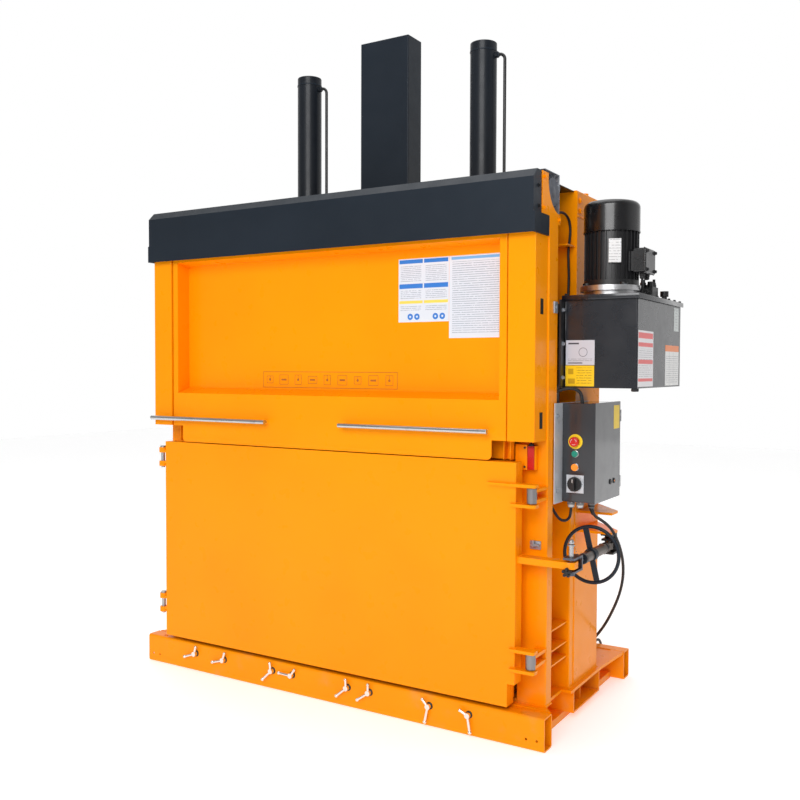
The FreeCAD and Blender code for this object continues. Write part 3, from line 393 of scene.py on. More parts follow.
steels = {
    # colour, roughness, the stretch of its streaks, their depth and how metallic it is
    "handleSteel": (rgb(196, 197, 198), 0.2, (0.05, 1, 1)),
    "turnedSteel": (rgb(178, 178, 180), 0.24, (1, 0.06, 1)),
    "pinSteel": (rgb(172, 172, 172), 0.26, (1, 1, 0.08)),
    "rollerSteel": (rgb(142, 138, 138), 0.3, (1, 1, 0.08)),
    "barrelSteel": (rgb(118, 111, 106), 0.34, (1, 0.06, 1)),
    "chainSteel": (rgb(96, 100, 110), 0.34, (1, 1, 1), 0.0001),
    "castAluminium": (rgb(206, 206, 208), 0.3, (1, 1, 0.1)),
    "stripAluminium": (rgb(206, 210, 216), 0.34, (1, 1, 0.04), 0.00005, 0.35),
    "leverChrome": (rgb(232, 230, 226), 0.12, (1, 1, 1), 0.00003),
    "rodChrome": (rgb(214, 216, 220), 0.08, (1, 1, 0.3), 0.00002),
}

plastics = {
    # colour and roughness
    "redPlastic": (rgb(206, 22, 18), 0.26),
    "greenPlastic": (rgb(20, 140, 118), 0.26),
    "yellowPlastic": (rgb(244, 206, 22), 0.3),
    "blackPlastic": (rgb(22, 22, 24), 0.42),
    "greyPlastic": (rgb(128, 130, 132), 0.4),
    "palePlastic": (rgb(206, 205, 203), 0.36),
    # near-black stand-in for the shade inside the casings' slots: painted shade, not a real part
    "darkGap": (rgb(12, 10, 8), 0.6),
}

finishes = {
    "floorPaint": makeChamberPaint(),
    "zinc": makeZinc("zinc"),
    "amberLamp": makeLamp("amberLamp", rgb(250, 140, 20), 0.15),
    "cordRubber": makeRubber("cordRubber"),
}
for maker, kinds in ((makePaint, paints), (makeSteel, steels), (makePlastic, plastics)):
    for kind, values in kinds.items():
        finishes[kind] = maker(kind, *values)

catchPins = [at(0.975, 0.018, height) for height in (0.333, 0.962)]
finishes["doorPaint"] = makeDoorPaint(catchPins, 0.0125)

nodeFinishes = {
    "orangePaint": [
        "base_frame", "left_side_frame", "right_side_frame", "rear_wall", "cross_beam",
        "guide_casings", "end_plates", "loading_door"],
    "doorPaint": ["chamber_door"],
    "floorPaint": ["chamber_floor"],
    "anthracitePaint": ["fascia_panel", "mast_cover", "platen", "handwheel"],
    "columnPaint": ["cylinders"],
    "boxPaint": ["control_box", "control_door"],
    "tankPaint": ["tank", "tank_lid"],
    "coverBlackPaint": ["fan_cover", "terminal_box"],
    "satinBlackPaint": [
        "top_cover", "tank_bracket", "motor_housing", "valve_block", "cylinder_pipes",
        "counterweights", "spindle_bracket"],
    "handleSteel": ["door_handles", "balance_shaft"],
    "turnedSteel": ["lock_pin"],
    "barrelSteel": ["spindle_eye"],
    "pinSteel": ["hinge_pins"],
    "chainSteel": ["idler_wheels", "lift_chains", "clevis_rod"],
    "castAluminium": ["pump_flange"],
    "stripAluminium": ["control_rail"],
    "zinc": ["wheel_brackets"],
    "rodChrome": ["piston_rods"],
    "leverChrome": ["strap_lever_%d" % number for number in range(1, 9)],
    "redPlastic": ["stop_button", "safety_switch", "power_plug"],
    "greenPlastic": ["start_button"],
    "amberLamp": ["reset_button"],
    "blackPlastic": ["main_switch", "motor_fan", "breather"],
    "greyPlastic": ["cable_glands"],
    "cordRubber": ["control_cables", "power_cord", "cord_coil"],
}


def dressFrame():
    for finish, nodes in nodeFinishes.items():
        for node in nodes:
            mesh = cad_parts[node].data
            mesh.materials.clear()
            mesh.materials.append(finishes[finish])


dressFrame()
print("finishes made")


def asPiece(name, mesh, finish, body):
    # the finish is the name of a shared one, or a material of the piece's own
    piece = placed(name, mesh)
    if isinstance(finish, str):
        finish = finishes[finish]
    mesh.materials.clear()
    mesh.materials.append(finish)
    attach(piece, body)
    return piece


def fromBmesh(name, shape):
    mesh = bpy.data.meshes.new(name)
    bmesh.ops.recalc_face_normals(shape, faces=shape.faces)
    shape.to_mesh(mesh)
    shape.free()
    return mesh


def roundedBox(name, low, high, radius, steps=2):
    shape = bmesh.new()
    bmesh.ops.create_cube(shape, size=1)
    middle = (Vector(low) + Vector(high)) / 2
    size = Vector(high) - Vector(low)
    for vertex in shape.verts:
        vertex.co = Vector([c * s for c, s in zip(vertex.co, size)]) + middle
    bmesh.ops.bevel(shape, geom=shape.edges[:], offset=radius, segments=steps, affect="EDGES", profile=0.5)
    return fromBmesh(name, shape)


def onCircle(radius, angle):
    return radius * math.cos(angle), radius * math.sin(angle)


def turned(name, profile, place, way, steps=32):
    # a turned shape: the profile holds (distance along the axis, radius) pairs
    shape = bmesh.new()
    rings = []
    for along, radius in profile:
        if radius < 1e-6:
            rings.append([shape.verts.new((0, 0, along))])
            continue
        rings.append([
            shape.verts.new((*onCircle(radius, 2 * math.pi * i / steps), along)) for i in range(steps)])
    for ring, following in zip(rings, rings[1:]):
        for i in range(steps):
            j = (i + 1) % steps
            if len(ring) == 1:
                shape.faces.new((ring[0], following[i], following[j]))
            elif len(following) == 1:
                shape.faces.new((ring[i], ring[j], following[0]))
            else:
                shape.faces.new((ring[i], ring[j], following[j], following[i]))
    for ring in (rings[0], rings[-1]):
        if len(ring) > 1:
            shape.faces.new(ring)
    turn = Vector(way).to_track_quat("Z", "Y").to_matrix().to_4x4()
    bmesh.ops.transform(shape, matrix=Matrix.Translation(place) @ turn, verts=shape.verts)
    mesh = fromBmesh(name, shape)
    smoothMesh(mesh, 35)
    return mesh


def smoothMesh(mesh, degrees):
    mesh.polygons.foreach_set("use_smooth", [True] * len(mesh.polygons))
    mesh.set_sharp_from_angle(angle=math.radians(degrees))


def joined(name, meshes):
    shape = bmesh.new()
    for mesh in meshes:
        shape.from_mesh(mesh)
    result = bpy.data.meshes.new(name)
    shape.to_mesh(result)
    shape.free()
    for mesh in meshes:
        bpy.data.meshes.remove(mesh)
    smoothMesh(result, 35)
    return result


def smoothCurve(name, points, steps):
    data = bpy.data.curves.new(name, "CURVE")
    data.dimensions = "3D"
    data.resolution_u = steps
    spline = data.splines.new("NURBS")
    spline.points.add(len(points) - 1)
    for point, place in zip(spline.points, points):
        point.co = (*place, 1)
    spline.order_u = 3
    spline.use_endpoint_u = True
    return data


def thicken(data, radius, sides):
    data.bevel_depth = radius
    data.bevel_resolution = sides
    data.use_fill_caps = True


def asGroup(name, meshes, finish, body):
    return asPiece(name, joined(name, meshes), finish, body)


def sided(side, what):
    return ("right" if side > 0 else "left") + what


def curveMesh(name, points, radius, sides=4):
    data = smoothCurve(name, points, 10)
    thicken(data, radius, sides)
    mesh = bakeShape(placed(name, data))
    smoothMesh(mesh, 50)
    return mesh


def bakeShape(holder):
    # the finished mesh of an object with modifiers, which is then taken away
    graph = bpy.context.evaluated_depsgraph_get()
    mesh = bpy.data.meshes.new_from_object(holder.evaluated_get(graph))
    data = holder.data
    bpy.data.objects.remove(holder)
    if data.users == 0 and isinstance(data, bpy.types.Mesh):
        bpy.data.meshes.remove(data)
    return mesh


class Grower(Nodes):
    # one geometry node tree that sets shapes on points
    def __init__(self, name, sizes):
        self.tree = bpy.data.node_groups.new(name, "GeometryNodeTree")
        face = self.tree.interface
        face.new_socket("Geometry", in_out="OUTPUT", socket_type="NodeSocketGeometry")
        face.new_socket("Geometry", in_out="INPUT", socket_type="NodeSocketGeometry")
        self.keys = {}
        for label, value in sizes.items():
            socket = face.new_socket(label, in_out="INPUT", socket_type="NodeSocketFloat")
            socket.default_value = value
            self.keys[label] = socket.identifier
        self.source = self.tree.nodes.new("NodeGroupInput")
        self.target = self.tree.nodes.new("NodeGroupOutput")

    def size(self, label):
        return self.source.outputs[label]

    def moved(self, geometry, shift, turn=(0, 0, 0)):
        made = self.node("GeometryNodeTransform", None, {
            "Geometry": geometry, "Translation": shift, "Rotation": turn})
        return made.outputs[0]

    def together(self, *parts):
        made = self.node("GeometryNodeJoinGeometry")
        for part in reversed(parts):
            self.tree.links.new(part, made.inputs[0])
        return made.outputs[0]

    def spread(self, shape, points, turn=None, scale=None):
        values = {"Points": points, "Instance": shape}
        if turn is None:
            turn = self.node("GeometryNodeInputNamedAttribute", {
                "data_type": "FLOAT_VECTOR"}, {"Name": "turn"}).outputs[0]
        values["Rotation"] = turn
        if scale is not None:
            values["Scale"] = scale
        return self.node("GeometryNodeInstanceOnPoints", None, values).outputs[0]

    def close(self, geometry, finish):
        self.finish = finish
        real = self.node("GeometryNodeRealizeInstances", None, {0: geometry})
        painted = self.node("GeometryNodeSetMaterial", None, {
            "Geometry": real.outputs[0], "Material": finishes[finish]})
        self.tree.links.new(painted.outputs[0], self.target.inputs[0])

    def grow(self, name, points, turns=None, sizes=None, edges=()):
        mesh = bpy.data.meshes.new(name)
        mesh.from_pydata([tuple(p) for p in points], list(edges), [])
        if turns:
            attribute = mesh.attributes.new("turn", "FLOAT_VECTOR", "POINT")
            for i, turn in enumerate(turns):
                attribute.data[i].vector = turn
        holder = placed(name, mesh)
        modifier = holder.modifiers.new("grow", "NODES")
        modifier.node_group = self.tree
        for label, value in (sizes or {}).items():
            modifier[self.keys[label]] = value
        return bakeShape(holder)


def facing(way):
    # the turn that points a shape's own +Z along a direction
    return tuple(Vector(way).to_track_quat("Z", "Y").to_euler())


cordSettings = {
    "diameter": 0.012,
    "exit": (1.104, 0.310, 0.890),
    "route": [
        (1.104, 0.310, 0.890), (1.106, 0.328, 0.858), (1.124, 0.376, 0.834), (1.147, 0.424, 0.798),
        (1.160, 0.462, 0.748), (1.166, 0.497, 0.695), (1.167, 0.528, 0.635), (1.158, 0.556, 0.565),
        (1.133, 0.590, 0.490), (1.094, 0.630, 0.412), (1.046, 0.676, 0.332), (0.992, 0.726, 0.262),
        (0.940, 0.778, 0.206), (0.906, 0.846, 0.166), (0.894, 0.914, 0.150), (0.893, 0.974, 0.151),
        (0.892, 1.036, 0.150), (0.891, 1.078, 0.108), (0.889, 1.080, 0.049), (0.845, 1.073, 0.0065),
        (0.788, 1.060, 0.0065)],
    "coilMiddle": (0.745, 1.130),
    "coilRadius": 0.066,
    "floorGap": 0.0065,      # its middle line's height where it lies on the floor
    "turns": 5,
    "pointsPerTurn": 14,
    "startAngle": -85,
    "plugEnd": [(0.722, 1.0495, 0.0215), (0.706, 1.058, 0.028), (0.684, 1.068, 0.030)],
}


def coilPoints():
    # in along the lower layer, up, and out again along the upper one
    s = cordSettings
    pitch = s["diameter"]
    count = s["turns"] * s["pointsPerTurn"]
    points = []
    for i in range(count + 1):
        gone = i / s["pointsPerTurn"]
        inward = min(gone, 2)
        outward = max(gone - 3, 0)
        radius = s["coilRadius"] + pitch * (1 - inward + outward)
        rise = min(max((gone - 2.6) / 0.4, 0), 1)
        x, depth = onCircle(radius, math.radians(s["startAngle"]) - 2 * math.pi * gone)
        points.append((
            s["coilMiddle"][0] + x, s["coilMiddle"][1] + depth, s["floorGap"] + (pitch + 0.0004) * rise))
    return points


def makeCord():
    s = cordSettings
    points = [at(*p) for p in s["route"] + coilPoints() + s["plugEnd"]]
    data = smoothCurve("supplyLead", points, 8)
    cord = placed("supplyLead", data)
    line = bpy.data.meshes.new_from_object(cord)
    ends = [[line.vertices[i].co for i in edge.vertices] for edge in line.edges]
    length = sum((a - b).length for a, b in ends)
    bpy.data.meshes.remove(line)
    thicken(data, s["diameter"] / 2, 4)
    data.materials.append(finishes["cordRubber"])
    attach(cord, "frame")
    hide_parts("power_cord", "cord_coil")
    return cord, length


cord, cordLength = makeCord()
print("supply lead", round(cordLength, 3), "m")


def makeStrainRelief():
    start = at(*cordSettings["route"][0])
    way = at(*cordSettings["route"][1]) - start
    radius = cordSettings["diameter"] / 2
    profile = [(-0.002, 0.0098), (0.004, 0.0098)]
    for ring in range(5):
        low = 0.005 + ring * 0.005
        reach = 0.0092 - ring * 0.0005
        profile += [
            (low, reach - 0.001), (low + 0.001, reach), (low + 0.0034, reach), (low + 0.0044, reach - 0.001)]
    profile += [(0.031, radius + 0.0003)]
    sleeve = turned("strainRelief", profile, start, way)
    asPiece("strainRelief", sleeve, "blackPlastic", "frame")


makeStrainRelief()


def makeCoilTie():
    x, depth = cordSettings["coilMiddle"]
    low = at(x - 0.009, depth + cordSettings["coilRadius"] - 0.0195, 0.0)
    high = at(x + 0.009, depth + cordSettings["coilRadius"] + 0.0195, 0.0262)
    outside = roundedBox("coilTie", low, high, 0.003)
    asPiece("coilTie", outside, "blackPlastic", "frame")


makeCoilTie()


def dressPlug():
    # grip rings round the plug's body, and its cord nut
    low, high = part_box("power_plug")
    middleY = (low.y + high.y) / 2
    axis = (low.z + high.z) / 2
    rings = []
    for i in range(9):
        x = low.x + 0.062 + i * 0.007
        rings.append(turned("grip", [
            (0, 0.0232), (0.001, 0.0244), (0.0035, 0.0244), (0.0045, 0.0232)],
            Vector((x, middleY, axis)), (1, 0, 0), 40))
    asGroup("plugGrip", rings, "blackPlastic", "frame")
    nut = turned("plugNut", [
        (0, 0.0125), (0.001, 0.0135), (0.012, 0.0130), (0.016, 0.0105), (0.0165, 0.0066)],
        Vector((high.x - 0.016, middleY, axis)), (1, 0, 0), 12)
    asPiece("plugNut", nut, "blackPlastic", "frame")


dressPlug()
tuple(at(*cordSettings["exit"]))
print("cord ends made")


def makeBoltGrower(name, finish):
    grower = Grower(name, {"Head radius": 0.008, "Head height": 0.006, "Washer radius": 0.011})
    washer = grower.node("GeometryNodeMeshCylinder", {"fill_type": "NGON"}, {
        "Vertices": 20, "Radius": grower.size("Washer radius"), "Depth": 0.0016})
    washer = grower.moved(washer.outputs[0], (0, 0, 0.0008))
    head = grower.node("GeometryNodeMeshCylinder", {"fill_type": "NGON"}, {
        "Vertices": 6, "Radius": grower.size("Head radius"), "Depth": grower.size("Head height")})
    head = grower.moved(head.outputs[0], (0, 0, 0.0044))
    crown = grower.node("GeometryNodeMeshCone", {"fill_type": "NGON"}, {
        "Vertices": 16, "Radius Top": 0.0042, "Radius Bottom": 0.0062, "Depth": 0.0012})
    crown = grower.moved(crown.outputs[0], (0, 0, 0.0073))
    bolt = grower.together(washer, head, crown)
    grower.close(grower.spread(bolt, grower.source.outputs["Geometry"]), finish)
    return grower


boltGrowers = {
    "zinc": makeBoltGrower("zincBolts", "zinc"),
    "black": makeBoltGrower("blackBolts", "blackPlastic"),
    "orange": makeBoltGrower("paintedBolts", "orangePaint"),
}

boltSettings = {
    "flange": {"Head radius": 0.0095, "Head height": 0.006, "Washer radius": 0.012},
    "cover": {"Head radius": 0.0062, "Head height": 0.004, "Washer radius": 0.0085},
    "frame": {"Head radius": 0.0105, "Head height": 0.006, "Washer radius": 0.0145},
}


def setBolts(name, kind, size, places, way):
    grower = boltGrowers[kind]
    mesh = grower.grow(name, places, [facing(way)] * len(places), boltSettings[size])
    asPiece(name, mesh, grower.finish, "frame")


def ring(middle, radius, count, start=0.0):
    return [
        middle + Vector((*onCircle(radius, start + 2 * math.pi * i / count), 0)) for i in range(count)]


def makeBolts():
    low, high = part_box("cylinders")
    cylinderX = high.x - 0.085
    cylinderY = (low.y + high.y) / 2
    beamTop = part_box("cross_beam")[1].z - 0.012
    places = []
    for side in (-1, 1):
        places += ring(Vector((side * cylinderX, cylinderY, beamTop + 0.020)), 0.0725, 8, math.pi / 8)
    setBolts("cylinderFlangeBolts", "zinc", "flange", places, (0, 0, 1))

    lidLow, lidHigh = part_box("tank_lid")
    places = []
    for i in range(8):
        along = lidLow.y + 0.018 + (lidHigh.y - lidLow.y - 0.036) * i / 7
        for x in (lidLow.x + 0.011, lidHigh.x - 0.011):
            places.append(Vector((x, along, lidHigh.z)))
    setBolts("lidScrews", "black", "cover", places, (0, 0, 1))

    flangeLow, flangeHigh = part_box("pump_flange")
    middle = (flangeLow + flangeHigh) / 2
    places = ring(Vector((middle.x, middle.y, flangeHigh.z)), 0.1145, 4, math.pi / 4)
    setBolts("motorFlangeBolts", "zinc", "cover", places, (0, 0, 1))

    boxLow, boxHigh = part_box("terminal_box")
    places = [
        Vector((boxHigh.x, y, z))
        for y in (boxLow.y + 0.012, boxHigh.y - 0.012)
        for z in (boxLow.z + 0.012, boxHigh.z - 0.012)]
    setBolts("terminalScrews", "black", "cover", places, (1, 0, 0))

    railLow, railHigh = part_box("control_rail")
    places = [Vector((railHigh.x, railLow.y + 0.02, z)) for z in (railLow.z + 0.05, railHigh.z - 0.05)]
    setBolts("railBolts", "zinc", "cover", places, (1, 0, 0))

    bracketLow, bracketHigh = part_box("tank_bracket")
    places = [Vector((bracketHigh.x, bracketLow.y + 0.02, z)) for z in (
        bracketLow.z + 0.04, (bracketLow.z + bracketHigh.z) / 2, bracketHigh.z - 0.04)]
    setBolts("tankBracketBolts", "zinc", "cover", places, (1, 0, 0))

    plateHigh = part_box("end_plates")[1]
    for side in (-1, 1):
        places = [at(side * plateHigh.x, depth, z) for depth, z in (
            (0.062, 2.045), (0.062, 2.160), (0.210, 2.018))]
        setBolts(sided(side, "EndBolts"), "orange", "cover", places, (side, 0, 0))

    beamLow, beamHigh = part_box("cross_beam")
    for side in (-1, 1):
        places = [
            Vector((side * beamHigh.x, y, z))
            for y in (beamLow.y + 0.03, beamHigh.y - 0.03)
            for z in (beamLow.z + 0.025, beamHigh.z - 0.05)]
        setBolts(sided(side, "BeamBolts"), "orange", "frame", places, (side, 0, 0))

    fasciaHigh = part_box("fascia_panel")[1]
    for side in (-1, 1):
        places = [at(side * (fasciaHigh.x - 0.006), 0.018, z) for z in (2.045, 2.12)]
        setBolts(sided(side, "FasciaScrews"), "black", "cover", places, (side, 0, 0))


makeBolts()
print("bolts set")


def makeWeldGrower():
    grower = Grower("weldSeam", {"Bead": 0.0045, "Pitch": 0.0042, "Unevenness": 0.2})
    line = grower.node("GeometryNodeMeshToCurve", None, {0: grower.source.outputs["Geometry"]})
    spaced = grower.node("GeometryNodeResampleCurve", {"mode": "LENGTH"}, {
        "Curve": line.outputs[0], "Length": grower.size("Pitch")})
    bead = grower.node("GeometryNodeMeshIcoSphere", None, {
        "Radius": grower.size("Bead"), "Subdivisions": 1})
    low = grower.node("ShaderNodeMath", {"operation": "SUBTRACT"}, {0: 1.0, 1: grower.size("Unevenness")})
    high = grower.node("ShaderNodeMath", {"operation": "ADD"}, {0: 1.0, 1: grower.size("Unevenness")})
    chance = grower.node("FunctionNodeRandomValue", {"data_type": "FLOAT"}, {
        "Min": low.outputs[0], "Max": high.outputs[0], "Seed": 7})
    spread = grower.spread(bead.outputs[0], spaced.outputs[0], (0, 0, 0), chance.outputs["Value"])
    grower.close(spread, "orangePaint")
    return grower


def weldLines():
    # pairs of ends, as x, depth and height
    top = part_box("base_frame")[1].z
    right = [
        ((0.881, 0.119, top), (0.996, 0.119, top)), ((0.996, 0.119, top), (0.996, 0.172, top)),
        ((1.000, 0.356, top), (1.000, 0.694, top)), ((0.885, 0.356, top), (1.000, 0.356, top)),
        ((0.885, 0.694, top), (1.000, 0.694, top)), ((1.000, 0.402, top), (1.000, 0.402, 1.150)),
        ((0.885, 0.402, 1.150), (1.000, 0.402, 1.150)), ((0.881, 0.700, top), (0.881, 0.955, top)),
        ((1.000, 0.402, 2.060), (1.000, 0.694, 2.060)), ((0.885, 0.694, 2.060), (1.000, 0.694, 2.060)),
    ]
    for height in (0.265, 0.271, 0.324, 0.330, 0.405, 0.411):
        right.append(((0.882, 0.127, height), (0.882, 0.354, height)))
    for height in (0.333, 0.962):
        for low in (height + 0.014, height + 0.026, height - 0.026, height - 0.014):
            right.append(((0.955, 0.119, low), (0.995, 0.119, low)))
    fins = []
    for height in (0.765, 0.775, 0.845, 0.855):
        fins.append(((1.000, 0.442, height), (1.000, 0.678, height)))
    left = [((-a[0], *a[1:]), (-b[0], *b[1:])) for a, b in right[:16]]
    for height in (0.300, 1.010):
        for low in (height + 0.033, height + 0.045, height - 0.045, height - 0.033):
            left.append(((-0.966, 0.118, low), (-0.936, 0.118, low)))
    sill = [((-0.974, 0.075, top), (0.974, 0.075, top)), ((-0.974, 0.955, top), (0.974, 0.955, top))]
    back = [((x + edge, 0.966, top + 0.02), (x + edge, 0.966, 2.05))
            for x in (-0.8, -0.4, 0, 0.4, 0.8) for edge in (-0.040, 0.040)]
    return right + fins + left + sill + back


def layWelds(grower, name, lines, body, sizes=None):
    points = [at(*end) for line in lines for end in line]
    edges = [(i, i + 1) for i in range(0, len(points), 2)]
    mesh = grower.grow(name, points, sizes=sizes, edges=edges)
    asPiece(name, mesh, grower.finish, body)


def makeWelds():
    grower = makeWeldGrower()
    layWelds(grower, "frameWelds", weldLines(), "frame")
    tongue = [((0.917, 0.022, z), (0.917, 0.073, z)) for z in (0.7002, 0.7248)]
    for height in (0.333, 0.962):
        for low in (height + 0.032, height + 0.044, height - 0.044, height - 0.032):
            tongue.append(((0.9165, 0.002, low), (0.9165, 0.030, low)))
    layWelds(grower, "doorWelds", tongue, "chamber_door", {"Bead": 0.003, "Pitch": 0.003})


makeWelds()
print("weld seams laid")


chainSettings = {
    "links": 170,
    "plateThickness": 0.0014,
    "plateHeight": 0.0078,
    "rollerRadius": 0.0033,
    "width": 0.0096,
}


def chainPlaces(x):
    # evenly round the loop: two straight runs and two half circles
    low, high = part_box("lift_chains")
    radius = (high.y - low.y) / 2 - 0.004
    middle = (high.y + low.y) / 2
    bottom, top = low.z + radius + 0.004, high.z - radius - 0.004
    run, half = top - bottom, math.pi * radius
    around = 2 * (run + half)
    places, turns = [], []
    for i in range(chainSettings["links"]):
        gone = around * i / chainSettings["links"]
        if gone < run:
            places.append(Vector((x, middle - radius, bottom + gone)))
            turns.append(math.pi / 2)
        elif gone < run + half:
            angle = (gone - run) / radius
            places.append(Vector((x, middle - radius * math.cos(angle), top + radius * math.sin(angle))))
            turns.append(math.pi / 2 - angle)
        elif gone < 2 * run + half:
            places.append(Vector((x, middle + radius, top - (gone - run - half))))
            turns.append(-math.pi / 2)
        else:
            angle = (gone - 2 * run - half) / radius
            places.append(Vector((x, middle + radius * math.cos(angle), bottom - radius * math.sin(angle))))
            turns.append(-math.pi / 2 - angle)
    return places, [(turn, 0, 0) for turn in turns], around / chainSettings["links"]


def makeChainGrower(pitch):
    s = chainSettings
    grower = Grower("chainLinks", {
        "Plate thickness": s["plateThickness"], "Plate height": s["plateHeight"],
        "Roller radius": s["rollerRadius"], "Width": s["width"]})
    thick = grower.size("Plate thickness")
    size = grower.node("ShaderNodeCombineXYZ", None, {
        "X": thick, "Y": pitch * 1.5, "Z": grower.size("Plate height")})
    plate = grower.node("GeometryNodeMeshCube", None, {"Size": size.outputs[0]}).outputs[0]
    outer = grower.together(
        grower.moved(plate, (0.0041, 0, 0)), grower.moved(plate, (-0.0041, 0, 0)))
    inner = grower.together(
        grower.moved(plate, (0.0024, 0, 0)), grower.moved(plate, (-0.0024, 0, 0)))
    roller = grower.node("GeometryNodeMeshCylinder", {"fill_type": "NGON"}, {
        "Vertices": 10, "Radius": grower.size("Roller radius"), "Depth": grower.size("Width")})
    roller = grower.moved(roller.outputs[0], (0, pitch / 2, 0), (0, math.pi / 2, 0))
    order = grower.node("GeometryNodeInputIndex")
    odd = grower.node("ShaderNodeMath", {"operation": "MODULO"}, {0: order.outputs[0], 1: 2.0})
    points = grower.source.outputs["Geometry"]
    first = grower.node("GeometryNodeDeleteGeometry", {"domain": "POINT"}, {
        "Geometry": points, "Selection": odd.outputs[0]}).outputs[0]
    isEven = grower.node("ShaderNodeMath", {"operation": "SUBTRACT"}, {0: 1.0, 1: odd.outputs[0]})
    second = grower.node("GeometryNodeDeleteGeometry", {"domain": "POINT"}, {
        "Geometry": points, "Selection": isEven.outputs[0]}).outputs[0]
    links = grower.together(
        grower.spread(outer, first), grower.spread(inner, second), grower.spread(roller, points))
    grower.close(links, "chainSteel")
    return grower


def makeChains():
    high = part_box("lift_chains")[1]
    x = high.x - 0.005
    meshes = []
    for side in (-1, 1):
        places, turns, pitch = chainPlaces(side * x)
        meshes.append(makeChainGrower(pitch).grow("chain", places, turns))
    mesh = joined("liftChains", meshes)
    chain = asPiece("liftChains", mesh, "chainSteel", "frame")
    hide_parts("lift_chains")


makeChains()
print("chains made")


def makeSheetLook(name, colours, lines):
    # a printed plate that faces forward: bands (low, high, left, right, colour), rows of short
    # strokes (low, high, left, right, pitch, share left blank) and spots (x, z, radius, colour)
    look = Look(name)
    x, _, z = look.axes()
    tint = colours["ground"]
    mark = None
    for low, high, left, right, pitch, blank in lines:
        row = look.calc("FRACT", (z - low) / pitch)
        word = look.noise(140, 1, look.stretched((1, 1, 0.02 / pitch)))
        stroke = look.between(row, 0.3, 0.62) * look.between(z, low, high)
        stroke = stroke * look.between(x, left, right) * (word > blank)
        mark = stroke if mark is None else look.calc("MAXIMUM", mark, stroke)
    if mark is not None:
        tint = look.tint(mark * 0.75, tint, colours["ink"])
    for low, high, left, right, colour in colours["bands"]:
        area = look.between(x, left, right) * look.between(z, low, high)
        tint = look.tint(area, tint, colour)
    for spotX, spotZ, radius, colour in colours.get("spots", []):
        away = look.calc("SQRT", (x - spotX) * (x - spotX) + (z - spotZ) * (z - spotZ))
        tint = look.tint(away < radius, tint, colour)
    return look.finish({
        "Base Color": tint,
        "Roughness": look.noise(60, 2) * 0.12 + 0.26,
        "Coat Weight": 0.2,
    })


placardSettings = {
    "depth": 0.0808,
    "left": (0.346, 0.583, 1.630, 1.890),
    "right": (0.584, 0.826, 1.562, 1.890),
    "blue": rgb(52, 122, 205),
    "yellow": rgb(240, 214, 92),
    "white": rgb(218, 222, 230),
    "ink": rgb(128, 138, 154),
}


plateProud = 0.0006    # how far a label stands out of its face
plateSunk = 0.0002     # and how far it reaches in


def frontPlate(name, span, face, look, body):
    left, right, low, high = span
    corners = Vector((left, face - plateProud, low)), Vector((right, face + plateSunk, high))
    asPiece(name, roundedBox(name, *corners, 0.0002, 1), look, body)


def sidePlate(name, span, face, look, body):
    near, far, low, high = span
    corners = Vector((face - plateSunk, near, low)), Vector((face + plateProud, far, high))
    asPiece(name, roundedBox(name, *corners, 0.0002, 1), look, body)


def makePlacards():
    s = placardSettings
    face = frontOfBase + s["depth"]
    left, right, low, high = s["left"]
    middle = (left + right) / 2
    bands = []
    for a, b in ((left + 0.004, middle - 0.003), (middle + 0.003, right - 0.004)):
        bands += [
            (high - 0.020, high - 0.004, a, b, s["blue"]), (1.768, 1.787, a, b, s["blue"]),
            (1.706, 1.718, a, b, s["yellow"])]
    spots = []
    for x in (middle - 0.030, middle - 0.062, right - 0.030, right - 0.062):
        spots += [(x, 1.652, 0.013, s["blue"]), (x, 1.652, 0.0045, s["white"])]
    lines = []
    for a, b in ((left + 0.010, middle - 0.010), (middle + 0.010, right - 0.010)):
        lines += [(1.795, 1.862, a, b, 0.0075, 0.40), (1.725, 1.762, a, b, 0.0075, 0.42),
                  (1.676, 1.700, a, b, 0.0075, 0.42)]
    look = makeSheetLook("leftPlacard", {
        "ground": s["white"], "ink": s["ink"], "bands": bands, "spots": spots}, lines)
    frontPlate("leftPlacard", s["left"], face, look, "loading_door")
    left, right, low, high = s["right"]
    look = makeSheetLook("rightPlacard", {
        "ground": s["white"], "ink": s["ink"],
        "bands": [(high - 0.016, high - 0.005, left + 0.010, right - 0.010, rgb(120, 176, 226))]},
        [(low + 0.018, high - 0.024, left + 0.014, right - 0.014, 0.0088, 0.38)])
    frontPlate("rightPlacard", s["right"], face, look, "loading_door")


